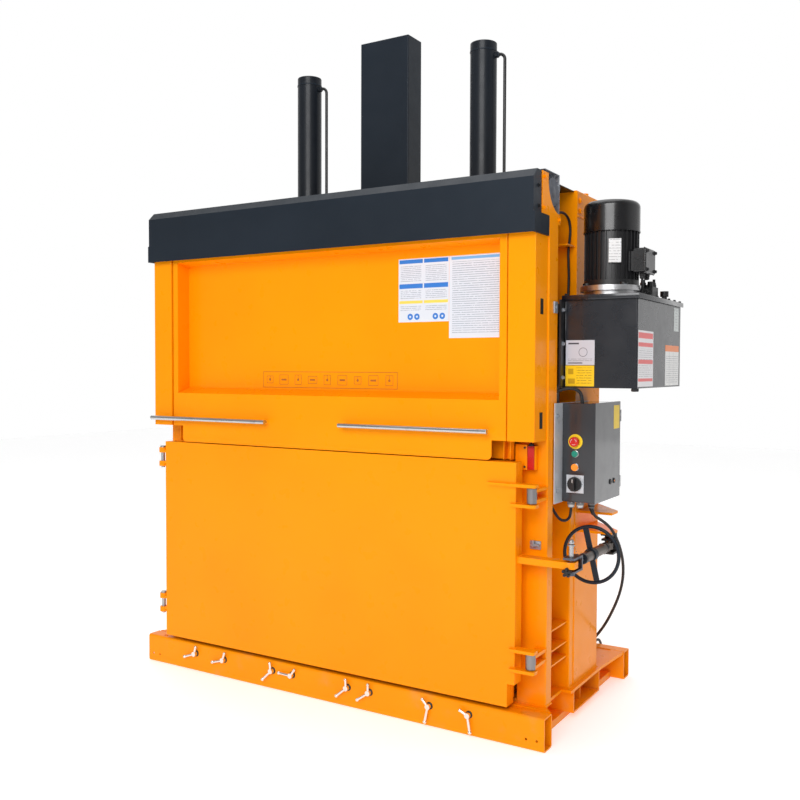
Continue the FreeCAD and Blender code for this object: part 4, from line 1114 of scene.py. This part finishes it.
def makePictureStrip():
    # an outlined strip with plain drawings of the machine's steps
    s = {"left": -0.379, "right": 0.342, "low": 1.352, "high": 1.424, "line": 0.0022}
    depth = placardSettings["depth"]
    bars = []

    def bar(left, right, low, high):
        corners = at(left, depth - 0.0004, low), at(right, depth + 0.0001, high)
        bars.append(roundedBox("bar", *corners, 0.0001, 1))

    bar(s["left"], s["right"], s["low"], s["low"] + s["line"])
    bar(s["left"], s["right"], s["high"] - s["line"], s["high"])
    bar(s["left"], s["left"] + s["line"], s["low"], s["high"])
    bar(s["right"] - s["line"], s["right"], s["low"], s["high"])
    cells = 9
    step = (s["right"] - s["left"]) / cells
    for cell in range(cells):
        x = s["left"] + step * (cell + 0.5)
        middle = (s["low"] + s["high"]) / 2
        wide = step * (0.30 if cell % 2 else 0.22)
        tall = 0.021 if cell % 3 else 0.016
        for up in (-tall, tall):
            bar(x - wide, x + wide, middle + up - 0.001, middle + up + 0.001)
        for out in (-wide, wide):
            bar(x + out - 0.001, x + out + 0.001, middle - tall, middle + tall)
        if cell % 2:
            bar(x - wide * 0.6, x + wide * 0.6, middle - 0.004, middle + 0.004)
        else:
            bars.append(turned("dot", [(0, 0.0), (0, 0.006), (0.0005, 0.006), (0.0005, 0.0)],
                               at(x, depth - 0.0004, middle), (0, 1, 0), 20))
            bar(x - 0.001, x + 0.001, middle + 0.006, middle + tall)
    brown = makePlastic("printBrown", rgb(176, 96, 10), 0.4)
    asGroup("pictureStrip", bars, brown, "loading_door")


makePlacards()
makePictureStrip()
print("placards made")


tankSettings = {
    "frontPlate": (1.014, 1.131, 1.455, 1.552),
    "yellowPlate": (1.012, 1.130, 1.372, 1.453),
    "redPlate": (0.258, 0.462, 1.372, 1.588),
    "orangePlate": (0.640, 0.850, 1.372, 1.540),
    "gaugePlate": (0.770, 0.842, 1.602, 1.702),
}


def makeSideLook(name, bands, ground, strokes):
    # the same for a plate that faces sideways
    look = Look(name)
    _, y, z = look.axes()
    tint = ground
    for low, high, left, right, pitch in strokes:
        row = look.calc("FRACT", (z - low) / pitch)
        word = look.noise(120, 1)
        stroke = look.between(row, 0.3, 0.6) * look.between(z, low, high) * look.between(y, left, right)
        tint = look.tint(stroke * (word > 0.42) * 0.7, tint, rgb(140, 140, 146))
    for low, high, left, right, colour in bands:
        tint = look.tint(look.between(y, left, right) * look.between(z, low, high), tint, colour)
    return look.finish({"Base Color": tint, "Roughness": look.noise(60, 2) * 0.1 + 0.3, "Coat Weight": 0.2})


def makeTankFrontPlates(face):
    white, yellow = rgb(196, 197, 206), rgb(190, 150, 18)
    left, right, low, high = tankSettings["frontPlate"]
    middle = (left + right) / 2
    look = makeSheetLook("tankPlate", {
        "ground": white, "ink": rgb(100, 100, 112),
        "bands": [(high - 0.016, high - 0.010, left + 0.01, middle - 0.005, rgb(60, 60, 70)),
                  (low + 0.006, low + 0.010, left + 0.01, middle + 0.01, rgb(70, 70, 80))],
        "spots": [(middle + 0.012, 1.505, 0.018, rgb(120, 120, 132)),
                  (middle + 0.012, 1.505, 0.0155, white)]},
        [(low + 0.014, low + 0.028, left + 0.01, right - 0.01, 0.0065, 0.42)])
    frontPlate("tankPlate", tankSettings["frontPlate"], face, look, "frame")
    left, right, low, high = tankSettings["yellowPlate"]
    look = makeSheetLook("tankYellowPlate", {
        "ground": rgb(240, 196, 22), "ink": rgb(150, 118, 20),
        "bands": [(high - 0.034, high - 0.012, left + 0.012, left + 0.034, yellow),
                  (low + 0.010, low + 0.030, left + 0.012, left + 0.040, yellow)]},
        [(low + 0.008, high - 0.008, left + 0.046, right - 0.01, 0.010, 0.42)])
    frontPlate("tankYellowPlate", tankSettings["yellowPlate"], face, look, "frame")


def makeTankSidePlates(face):
    def span(kind):
        near, far, low, high = tankSettings[kind]
        return frontOfBase + near, frontOfBase + far, low, high

    near, far, low, high = span("redPlate")
    edges = [(high - 0.030, high - 0.008), (high - 0.062, high - 0.046),
             (high - 0.128, high - 0.112), (low + 0.020, low + 0.032)]
    look = makeSideLook(
        "tankRedPlate", [(a, b, near + 0.006, far - 0.006, rgb(226, 92, 92)) for a, b in edges],
        rgb(226, 224, 226), [(low + 0.036, high - 0.07, near + 0.012, far - 0.012, 0.0082)])
    sidePlate("tankRedPlate", span("redPlate"), face, look, "frame")
    near, far, low, high = span("orangePlate")
    head, grey = high - 0.026, rgb(150, 150, 154)
    look = makeSideLook("tankOrangePlate", [
        (head, high, near, far, rgb(236, 130, 60)),
        (low, head, near + 0.062, near + 0.064, grey), (low, head, near + 0.124, near + 0.126, grey)],
        rgb(228, 228, 226), [(low + 0.010, high - 0.04, near + 0.010, far - 0.010, 0.009)])
    sidePlate("tankOrangePlate", span("orangePlate"), face, look, "frame")
    near, far, low, high = span("gaugePlate")
    look = makeSideLook("tankGaugePlate", [], rgb(196, 202, 200), [
        (low + 0.01, high - 0.01, near + 0.02, far - 0.02, 0.012)])
    sidePlate("tankGaugePlate", span("gaugePlate"), face, look, "frame")


def makeTankPlates():
    low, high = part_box("tank")
    makeTankFrontPlates(low.y)
    makeTankSidePlates(high.x)


def makeTankFittings():
    low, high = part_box("tank")
    plug = turned("drainPlug", [
        (0, 0.014), (0.004, 0.015), (0.010, 0.015), (0.0125, 0.012), (0.0125, 0.006), (0.010, 0.005)],
        Vector((high.x - 0.014, low.y + 0.022, low.z)), (0, 0, -1), 6)
    asPiece("drainPlug", plug, "satinBlackPaint", "frame")
    seams = []
    for x, y in ((low.x + 0.004, low.y), (high.x, low.y + 0.004)):
        corners = (x - 0.0015, y - 0.0012, low.z + 0.002), (x + 0.0015, y + 0.0012, high.z)
        seams.append(roundedBox("seam", *corners, 0.001))
    asGroup("tankSeams", seams, "tankPaint", "frame")
    lidLow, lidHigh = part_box("tank_lid")
    proud = 0.0006
    lip = []
    for a, b in (
            ((lidLow.x, lidLow.y - proud), (lidHigh.x, lidLow.y + 0.002)),
            ((lidHigh.x - 0.002, lidLow.y), (lidHigh.x + proud, lidHigh.y))):
        corners = (a[0] + proud, a[1], lidHigh.z - 0.019), (*b, lidHigh.z - 0.0004)
        lip.append(roundedBox("lip", *corners, 0.0008))
    asGroup("lidLip", lip, "tankPaint", "frame")


motorSettings = {
    "fanRings": (0.030, 0.044, 0.058, 0.072),
    "plateAngle": -65,
    "plateDistance": 0.1085,
    "lugDistance": 0.104,
}


def makeMotorParts():
    low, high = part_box("fan_cover")
    middle = (low + high) / 2
    rings = []
    for radius in motorSettings["fanRings"]:
        rings.append(turned("ring", [
            (0, radius - 0.0015), (0.0012, radius - 0.0008),
            (0.0012, radius + 0.0008), (0, radius + 0.0015)],
            Vector((middle.x, middle.y, high.z - 0.0004)), (0, 0, 1), 48))
    edge = (high.x - low.x) / 2
    brim = turned("brim", [(0, edge), (0.0005, edge + 0.0015), (0.004, edge + 0.0015), (0.0045, edge)],
                  Vector((middle.x, middle.y, low.z)), (0, 0, 1), 64)
    asGroup("fanCoverRings", rings + [brim], "coverBlackPaint", "frame")

    centre = Vector((middle.x, middle.y, 0))
    angle = math.radians(motorSettings["plateAngle"])
    out = Vector((*onCircle(motorSettings["plateDistance"], angle), 0))
    plate = roundedBox("nameplate", (-0.024, -0.0012, 1.852), (0.024, 0.0012, 1.945), 0.001)
    turn = Matrix.Rotation(angle + math.pi / 2, 4, "Z")
    plate.transform(Matrix.Translation(centre + out) @ turn)
    look = Look("nameplateSteel")
    z = look.axes()[2]
    row = look.between(look.calc("FRACT", z / 0.011), 0.25, 0.55) * (look.noise(150, 1) > 0.44)
    material = look.finish({
        "Base Color": look.tint(row * 0.5, rgb(222, 222, 222), rgb(120, 120, 124)),
        "Metallic": 0.25,
        "Roughness": look.noise(40, 2) * 0.1 + 0.3,
    })
    asPiece("motorNameplate", plate, material, "frame")

    glands = []
    boxLow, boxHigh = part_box("terminal_box")
    for y in (-0.03, 0.03):
        glands.append(turned("gland", [
            (0, 0.012), (0.008, 0.012), (0.009, 0.0105), (0.018, 0.0105), (0.021, 0.008), (0.021, 0.0)],
            Vector(((boxLow.x + boxHigh.x) / 2, (boxLow.y + boxHigh.y) / 2 + y, boxLow.z)), (0, 0, -1), 6))
    asGroup("terminalGlands", glands, "blackPlastic", "frame")
    lid = roundedBox(
        "terminalLid", (boxHigh.x - 0.0085, boxLow.y - 0.0016, boxLow.z - 0.0016),
        (boxHigh.x - 0.006, boxHigh.y + 0.0016, boxHigh.z + 0.0016), 0.001)
    asPiece("terminalLidRim", lid, "coverBlackPaint", "frame")

    feet = []
    base = Vector((middle.x, middle.y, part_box("pump_flange")[1].z))
    lug = [(0, 0.017), (0.010, 0.017), (0.012, 0.014), (0.012, 0.0)]
    for place in ring(base, motorSettings["lugDistance"], 4, math.pi / 4):
        feet.append(turned("lug", lug, place, (0, 0, 1), 24))
    asGroup("motorLugs", feet, "satinBlackPaint", "frame")


def makeValveDetail():
    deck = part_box("tank_lid")[1].z
    pieces = []
    nuts = (1.231, 0.540, 0.030, 0.013), (1.262, 0.565, 0.022, 0.010), (1.262, 0.588, 0.034, 0.008)
    for x, depth, height, radius in nuts:
        pieces.append(turned("nut", [
            (0, radius), (height * 0.6, radius), (height * 0.62, radius * 0.75),
            (height, radius * 0.7), (height, 0.0)], at(x, depth, deck + 0.046), (0, 0, 1), 6))
    for depth in (0.602, 0.612, 0.622, 0.632):
        pieces.append(turned("coilRing", [(0, 0.017), (0.001, 0.0182), (0.004, 0.0182), (0.005, 0.017)],
                             at(1.243, depth, deck + 0.023), (0, 1, 0), 28))
    corners = at(1.226, 0.606, deck + 0.040), at(1.260, 0.634, deck + 0.064)
    pieces.append(roundedBox("coilPlug", *corners, 0.003))
    asGroup("valveFittings", pieces, "satinBlackPaint", "frame")
    knob = []
    for turn in range(10):
        x, z = onCircle(0.0122, 2 * math.pi * turn / 10)
        knob.append(roundedBox("knurl", (-0.0012, -0.0014, 0), (0.0012, 0.0014, 0.018), 0.0006, 1))
        place = at(1.253 + x, 0.494, deck + 0.023 + z)
        knob[-1].transform(Matrix.Translation(place) @ Matrix.Rotation(-math.pi / 2, 4, "X"))
    asGroup("valveKnobGrip", knob, "blackPlastic", "frame")


makeTankPlates()
makeTankFittings()
makeMotorParts()
makeValveDetail()
print("power pack detailed")


controlSettings = {
    "x": 1.058,
    "stop": 1.155,
    "start": 1.107,
    "reset": 1.054,
    "switch": 0.988,
}


def makeControls():
    s = controlSettings
    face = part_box("control_box")[0].y
    stop = Vector((s["x"], face, s["stop"]))
    disc = turned("stopDisc", [
        (0.0, 0.0), (0.0, 0.029), (0.0012, 0.0295), (0.0026, 0.029), (0.003, 0.0255), (0.003, 0.0)],
        stop, (0, -1, 0), 48)
    asPiece("stopDisc", disc, "yellowPlastic", "frame")
    bezels = []
    for z, radius in ((s["start"], 0.0145), (s["reset"], 0.0155)):
        bezels.append(turned("bezel", [
            (0.0, radius - 0.0035), (0.0, radius), (0.002, radius), (0.0035, radius - 0.001),
            (0.004, radius - 0.0025)], Vector((s["x"], face, z)), (0, -1, 0), 40))
    asGroup("buttonBezels", bezels, "handleSteel", "frame")
    collar = turned("stopCollar", [(0.003, 0.0), (0.003, 0.0152), (0.0058, 0.0150), (0.0058, 0.0)],
                    stop, (0, -1, 0), 36)
    asPiece("stopCollar", collar, "blackPlastic", "frame")
    marks = []
    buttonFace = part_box("stop_button")[0].y
    for i in range(3):
        arc = []
        for k in range(5):
            x, z = onCircle(0.0115, math.radians(120 * i + 18 * k))
            arc.append(Vector((s["x"] + x, buttonFace - 0.0001, s["stop"] + z)))
        marks.append(curveMesh("arrow", arc, 0.0008))
    white = makePlastic("markWhite", rgb(236, 232, 228), 0.35)
    asGroup("stopMarks", marks, white, "stop_button")
    makeMainSwitch(face, white)
    makeBoxDoorParts()
    makeGlands()


def makeMainSwitch(face, white):
    middle, height = controlSettings["x"], controlSettings["switch"]
    half = 0.0355
    plate = roundedBox("switchPlate", (middle - half, face - 0.0022, height - half),
                       (middle + half, face, height + half), 0.001)
    asPiece("switchPlate", plate, "stripAluminium", "frame")
    knurls = []
    for i in range(36):
        x, z = onCircle(0.0272, 2 * math.pi * i / 36)
        knurls.append(roundedBox("knurl", (-0.0011, 0, -0.0011), (0.0011, 0.0105, 0.0011), 0.0006, 1))
        knurls[-1].transform(Matrix.Translation((middle + x, face - 0.0148, height + z)))
    asGroup("switchKnurls", knurls, "blackPlastic", "main_switch")
    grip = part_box("main_switch")[0].y
    line = roundedBox("switchMark", (middle - 0.0012, grip - 0.0004, height + 0.008),
                      (middle + 0.0012, grip + 0.0004, height + 0.022), 0.0003)
    asPiece("switchMark", line, white, "main_switch")
    ticks = []
    for degrees in (0, 45, 90, 135, 180, 270):
        angle = math.radians(degrees)
        x, z = onCircle(0.0312, angle)
        ticks.append(roundedBox("tick", (-0.002, -0.0003, -0.0005), (0.002, 0.0003, 0.0005), 0.0001, 1))
        place = Matrix.Translation((middle + x, face - 0.0023, height + z))
        ticks[-1].transform(place @ Matrix.Rotation(-angle, 4, "Y"))
    asGroup("switchTicks", ticks, "blackPlastic", "frame")


def makeBoxDoorParts():
    doorLow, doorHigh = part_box("control_door")
    locks = []
    for y in (0.432, 0.478):
        locks.append(turned("lock", [
            (0, 0.011), (0.002, 0.0112), (0.0035, 0.010), (0.0035, 0.0045), (0.0018, 0.004), (0.0018, 0.0)],
            at(doorHigh.x, y, 0.984), (1, 0, 0), 28))
    asGroup("doorLocks", locks, "blackPlastic", "control_door")
    # the insert takes the amber lamp finish, so it glows faintly: a painted glow on a part that is no lamp
    insert = turned("lockInsert", [(0.0018, 0.0), (0.0018, 0.0036), (0.004, 0.0032), (0.004, 0.0)],
                    at(doorHigh.x, 0.478, 0.984), (1, 0, 0), 20)
    asPiece("lockInsert", insert, "amberLamp", "control_door")
    corners = at(doorHigh.x - 0.0003, 0.470, 1.196), at(doorHigh.x + 0.0005, 0.540, 1.292)
    asPiece("boxPlate", roundedBox("boxPlate", *corners, 0.0002, 1), "yellowPlastic", "control_door")
    barrels = []
    for z in (doorLow.z + 0.06, doorHigh.z - 0.06):
        barrels.append(turned("hinge", [
            (-0.024, 0.0), (-0.024, 0.0045), (-0.0235, 0.005), (0.0235, 0.005), (0.024, 0.0045),
            (0.024, 0.0)],
            Vector((doorHigh.x - 0.002, doorHigh.y + 0.004, z)), (0, 0, 1), 20))
    asGroup("boxHinges", barrels, "handleSteel", "control_door")


def makeGlands():
    # two pale glands for the control leads and a dark one for the supply lead
    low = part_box("control_box")[0]
    pale, dark = [], []
    for x, depth, nuts in ((1.029, 0.285, pale), (1.066, 0.285, pale), (1.104, 0.310, dark)):
        nuts.append(turned("glandNut", [
            (0.0, 0.0158), (0.006, 0.0158), (0.007, 0.0148), (0.0135, 0.0148), (0.0138, 0.0125)],
            at(x, depth, low.z), (0, 0, -1), 6))
        nuts.append(turned("glandCap", [
            (0.0145, 0.0124), (0.015, 0.0132), (0.022, 0.0128), (0.0262, 0.0095), (0.0262, 0.0)],
            at(x, depth, low.z), (0, 0, -1), 24))
    asGroup("paleGlands", pale, "palePlastic", "frame")
    asGroup("darkGland", dark, "blackPlastic", "frame")


def makeDoorSwitch():
    low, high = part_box("safety_switch")
    lid = roundedBox("switchLid", (low.x + 0.001, low.y - 0.003, low.z + 0.004),
                     (high.x - 0.001, low.y + 0.002, high.z - 0.004), 0.002)
    asPiece("switchLid", lid, "redPlastic", "frame")
    head = roundedBox("switchHead", (low.x + 0.004, low.y + 0.001, high.z - 0.002),
                      (high.x - 0.006, low.y + 0.016, high.z + 0.010), 0.003)
    asPiece("switchHead", head, "blackPlastic", "frame")
    middle = (low.x + high.x) / 2 - 0.002
    lead = curveMesh("switchLead", [Vector(place) for place in (
        (middle, low.y + 0.008, high.z + 0.006), (middle, low.y + 0.008, high.z + 0.022),
        (middle + 0.002, low.y + 0.014, high.z + 0.034), (middle - 0.010, high.y - 0.002, high.z + 0.044),
        (middle - 0.026, high.y + 0.004, high.z + 0.046))], 0.0035)
    asPiece("switchLead", lead, "cordRubber", "frame")
    # sheet guard beside it and along its open side
    guard = [
        roundedBox("guard", (low.x - 0.050, low.y - 0.002, low.z - 0.002),
                   (low.x - 0.0006, high.y - 0.0002, high.z + 0.006), 0.0015),
        roundedBox("cheek", (high.x + 0.0005, low.y + 0.001, low.z - 0.001),
                   (high.x + 0.0035, high.y - 0.0002, high.z + 0.001), 0.001)]
    asGroup("switchGuard", guard, "orangePaint", "frame")
    screws = []
    for z in (low.z + 0.010, high.z - 0.006):
        screws.append(turned("screw", [(0, 0.0042), (0.0015, 0.0042), (0.0024, 0.0030), (0.0024, 0.0)],
                             Vector((low.x - 0.010, low.y - 0.002, z)), (0, -1, 0), 20))
    asGroup("guardScrews", screws, "blackPlastic", "frame")


makeControls()
makeDoorSwitch()
print("controls detailed")


def makeCasingDetail():
    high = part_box("guide_casings")[1]
    # near-black boxes in the casings' slots: painted shade where the slots' insides lie in shadow
    slotShades = []
    for side in (-1, 1):
        for bottom, top in ((1.2125, 1.2745), (1.6455, 1.7045)):
            near, far = sorted((side * (high.x - 0.0007), side * (high.x - 0.0037)))
            slotShades.append(roundedBox("slot", at(near, 0.0482, bottom), at(far, 0.0798, top), 0.0005, 1))
    asGroup("casingSlotShade", slotShades, "darkGap", "frame")
    clips = [
        roundedBox("clip", at(0.995, 0.160, 1.655), at(1.0025, 0.196, 1.700), 0.002),
        turned("clipScrew", [(0, 0.006), (0.003, 0.006), (0.004, 0.004), (0.004, 0.0)],
               at(1.0025, 0.176, 1.678), (1, 0, 0), 6)]
    asGroup("zincClip", clips, "zinc", "frame")


def makeHandleDetail():
    low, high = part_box("door_handles")
    caps = []
    for x, way in ((-0.980, -1), (-0.280, 1), (0.120, -1), (0.810, 1)):
        caps.append(turned("cap", [
            (-0.004, 0.0101), (-0.002, 0.0104), (0.0, 0.0096), (0.0015, 0.006), (0.0015, 0.0)],
            Vector((x, low.y + 0.010, (low.z + high.z) / 2)), (way, 0, 0), 28))
    asGroup("handleEnds", caps, "handleSteel", "loading_door")
    collars = []
    for x in (-0.858, -0.300, 0.140, 0.790):
        collars.append(turned("collar", [(0, 0.0115), (0.001, 0.0120), (0.0025, 0.0112), (0.004, 0.0078)],
                              at(x, 0.006, 1.200), (0, -1, 0), 28))
    asGroup("handleCollars", collars, "orangePaint", "loading_door")


def makeClosingDetail():
    wheelLow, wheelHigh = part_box("handwheel")
    wheelX = (wheelLow.x + wheelHigh.x) / 2
    wheelZ = (wheelLow.z + wheelHigh.z) / 2
    knobX, knobZ = wheelX - 0.004, wheelZ - 0.024
    knob = [turned("knobHub", [(0, 0.0), (0, 0.008), (0.014, 0.008), (0.016, 0.006), (0.016, 0.0)],
                   at(knobX, 0.024, knobZ), (0, -1, 0), 20)]
    for lobe in range(5):
        x, z = onCircle(0.012, 2 * math.pi * lobe / 5 + 0.3)
        knob.append(turned("lobe", [
            (0.003, 0.0), (0.003, 0.0055), (0.004, 0.0065), (0.013, 0.0065), (0.015, 0.005),
            (0.015, 0.0)], at(knobX + x, 0.0235, knobZ + z), (0, -1, 0), 16))
    asGroup("starKnob", knob, "blackPlastic", "clevis_rod")

    def onBarrel(name, depth, profile, steps):
        return turned(name, profile, at(wheelX, depth, wheelZ), (0, 1, 0), steps)

    edge = [(0, 0.0202), (0.0008, 0.0212), (0.0042, 0.0212), (0.005, 0.0202)]
    barrel = [onBarrel("barrelRing", depth, edge, 36) for depth in (0.173, 0.183, 0.425, 0.435)]
    barrel.append(onBarrel(
        "barrelCollar", 0.395, [(0, 0.0204), (0.001, 0.0235), (0.013, 0.0235), (0.014, 0.0204)], 6))
    for depth, reach, bore in ((0.186, 0.070, 0.0102), (0.285, 0.108, 0.0202)):
        barrel.append(onBarrel(
            "barrelSleeve", depth, [(0, bore), (0, 0.0206), (reach, 0.0206), (reach, 0.0202)], 40))
    asGroup("barrelSteel", barrel, "barrelSteel", "handwheel")
    makePinChain(wheelX, wheelZ)


def makePinChain(wheelX, wheelZ):
    # the small chain that keeps the lock pin
    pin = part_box("lock_pin")
    links = []
    start = at(wheelX + 0.010, 0.052, pin[1].z - 0.024)
    end = at(wheelX + 0.021, 0.095, wheelZ + 0.020)
    count = 11
    for i in range(count):
        share = i / (count - 1)
        sag = math.sin(math.pi * share)
        place = start.lerp(end, share) + Vector((0.006 * sag, 0, -0.020 * sag))
        loop = []
        for k in range(9):
            angle = 2 * math.pi * k / 8
            along, across = 0.0038 * math.cos(angle), 0.0026 * math.sin(angle)
            loop.append(place + Vector((across, along, 0) if i % 2 else (0, along, across)))
        links.append(curveMesh("link", loop, 0.0006, 1))
    asGroup("pinChain", links, "chainSteel", "clevis_rod")


def makeLeverDetail():
    # a dark bush round each lever's shaft, where it goes through the rail
    bushes = []
    for x in (-0.725, -0.547, -0.260, -0.149, 0.149, 0.260, 0.547, 0.725):
        bushes.append(turned("bush", [
            (0.0, 0.0142), (0.0, 0.0152), (0.0025, 0.0148), (0.004, 0.0128), (0.004, 0.0118)],
            at(x, 0.0002, 0.085), (0, -1, 0), 28))
    asGroup("leverBushes", bushes, "blackPlastic", "frame")


def makeRollers():
    # steel sleeves on the door's catch pins
    sleeves = []
    for pin in catchPins:
        sleeves.append(turned("sleeve", [
            (-0.029, 0.0128), (-0.029, 0.0186), (-0.028, 0.0195), (0.028, 0.0195), (0.029, 0.0186),
            (0.029, 0.0128)], pin, (0, 0, 1), 40))
    asGroup("catchSleeves", sleeves, "rollerSteel", "chamber_door")


def makeLatch():
    # a small bolt on the post that the chamber door closes against
    pieces = [
        roundedBox("latchPlate", at(0.928, 0.112, 0.742), at(0.972, 0.1195, 0.774), 0.001),
        turned("latchBolt", [(0, 0.006), (0.034, 0.006), (0.036, 0.004), (0.036, 0.0)],
               at(0.935, 0.106, 0.758), (1, 0, 0), 16),
        roundedBox("latchTab", at(0.944, 0.096, 0.752), at(0.950, 0.108, 0.778), 0.001)]
    asGroup("postLatch", pieces, "zinc", "frame")


makeCasingDetail()
makeHandleDetail()
makeClosingDetail()
makeLeverDetail()
makeRollers()
makeLatch()
print("doors and closing gear detailed")


def makeCylinderDetail():
    low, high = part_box("cylinders")
    x = high.x - 0.085
    y = (low.y + high.y) / 2
    # name, shift to the right, height, way, steps and profile
    fittings = (
        ("endRing", 0, high.z - 0.042, (0, 0, 1), 64, [
            (0, 0.0602), (0.001, 0.0618), (0.006, 0.0618), (0.007, 0.0602)]),
        ("footRing", 0, 2.185, (0, 0, 1), 64, [
            (0, 0.0602), (0, 0.069), (0.006, 0.066), (0.009, 0.0602)]),
        ("portNut", 0.066, high.z - 0.060, (1, 0, 0), 6, [
            (0, 0.0120), (0.008, 0.0120), (0.009, 0.0105), (0.013, 0.0090), (0.013, 0.0072)]),
        ("footNut", 0.105, 2.171, (0, 0, 1), 6, [
            (0, 0.0155), (0.012, 0.0155), (0.013, 0.012), (0.018, 0.010), (0.018, 0.0072)]))
    pieces = [
        turned(name, profile, Vector((side * x + shift, y, z)), way, steps)
        for side in (-1, 1) for name, shift, z, way, steps, profile in fittings]
    asGroup("cylinderFittings", pieces, "anthracitePaint", "frame")


makeCylinderDetail()


cableSettings = {
    "switch": {"radius": 0.0055, "points": [
        (1.029, 0.285, 0.892), (1.029, 0.284, 0.872), (1.028, 0.272, 0.848), (1.018, 0.246, 0.838),
        (1.000, 0.228, 0.848), (0.978, 0.221, 0.884), (0.958, 0.221, 0.922), (0.930, 0.222, 0.940),
        (0.893, 0.222, 0.940)]},
    "riser": {"radius": 0.0068, "points": [
        (0.882, 0.222, 1.330), (0.930, 0.222, 1.336), (0.985, 0.222, 1.352), (1.035, 0.228, 1.366),
        (1.066, 0.246, 1.360), (1.078, 0.264, 1.336), (1.078, 0.268, 1.304)]},
    "column": {"radius": 0.0052, "points": [
        (0.962, 0.262, 2.052), (0.966, 0.300, 2.066), (0.970, 0.345, 2.064), (0.974, 0.378, 2.046),
        (0.974, 0.394, 2.008), (0.974, 0.388, 1.968), (0.974, 0.372, 1.930), (0.974, 0.372, 1.886),
        (0.973, 0.382, 1.842), (0.972, 0.386, 1.790), (0.972, 0.380, 1.735)]},
}


def makeCables():
    # leads held at both ends, and the door switch's plug
    meshes = []
    for name, cable in cableSettings.items():
        meshes.append(curveMesh(name, [at(*place) for place in cable["points"]], cable["radius"]))
    meshes.append(turned("plug", [
        (-0.002, 0.0), (-0.002, 0.012), (0.004, 0.012), (0.005, 0.0088), (0.012, 0.0088), (0.014, 0.0062)],
        at(0.883, 0.222, 0.940), (1, 0, 0), 24))
    boxLow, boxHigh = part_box("terminal_box")
    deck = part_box("tank_lid")[1].z
    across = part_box("control_cables")[1].x - 0.006
    along = (boxLow.y + boxHigh.y) / 2 - 0.030
    meshes.append(curveMesh("motor", [Vector(place) for place in (
        (across, along, boxLow.z - 0.016), (across, along, boxLow.z - 0.034),
        (across - 0.004, along + 0.018, boxLow.z - 0.052), (across - 0.012, along + 0.030, deck + 0.014),
        (across - 0.014, along + 0.032, deck - 0.002))], 0.0048))
    cables = asGroup("controlLeads", meshes, "cordRubber", "frame")
    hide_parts("control_cables")


wheelSettings = {
    "teeth": 19,
    "tip": 0.0585,
    "root": 0.0520,
    "faces": (0.9848, 0.9892),
}


def makeOuterWheel():
    # the balance shaft's toothed end wheels, outside their brackets
    s = wheelSettings
    low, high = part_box("balance_shaft")
    middle = (low + high) / 2
    steps = s["teeth"] * 4
    flank = s["tip"] - 0.0015
    pieces = []
    for side in (-1, 1):
        shape = bmesh.new()
        rims = []
        for x in s["faces"]:
            rim = []
            for step in range(steps):
                radius = (s["root"], flank, s["tip"], flank)[step % 4]
                y, z = onCircle(radius, 2 * math.pi * step / steps)
                rim.append(shape.verts.new((side * x, middle.y + y, middle.z + z)))
            rims.append(rim)
            shape.faces.new(rim)
        for step in range(steps):
            following = (step + 1) % steps
            shape.faces.new((rims[0][step], rims[0][following], rims[1][following], rims[1][step]))
        pieces.append(fromBmesh("wheel", shape))
        pieces.append(turned("boss", [
            (0, 0.020), (0.0008, 0.024), (0.0052, 0.024), (0.0058, 0.0225)],
            Vector((side * 0.9836, middle.y, middle.z)), (side, 0, 0), 32))
    asGroup("outerWheels", pieces, "chainSteel", "balance_shaft")


makeCables()
makeOuterWheel()
print("cables and outer wheels made")


def makeFloor():
    shape = bmesh.new()
    bmesh.ops.create_grid(shape, x_segments=1, y_segments=1, size=14)
    mesh = fromBmesh("floor", shape)
    floor = placed("floor", mesh)
    look = Look("paleFloor")
    cloud = look.noise(0.6, 2)
    mesh.materials.append(look.finish({
        "Base Color": look.tint(cloud * 0.3, rgb(246, 246, 246), rgb(240, 240, 240)),
        "Emission Color": (1, 1, 1, 1),
        "Emission Strength": 0.4,
        "Roughness": cloud * 0.1 + 0.6}))


makeFloor()


print("scene ready")
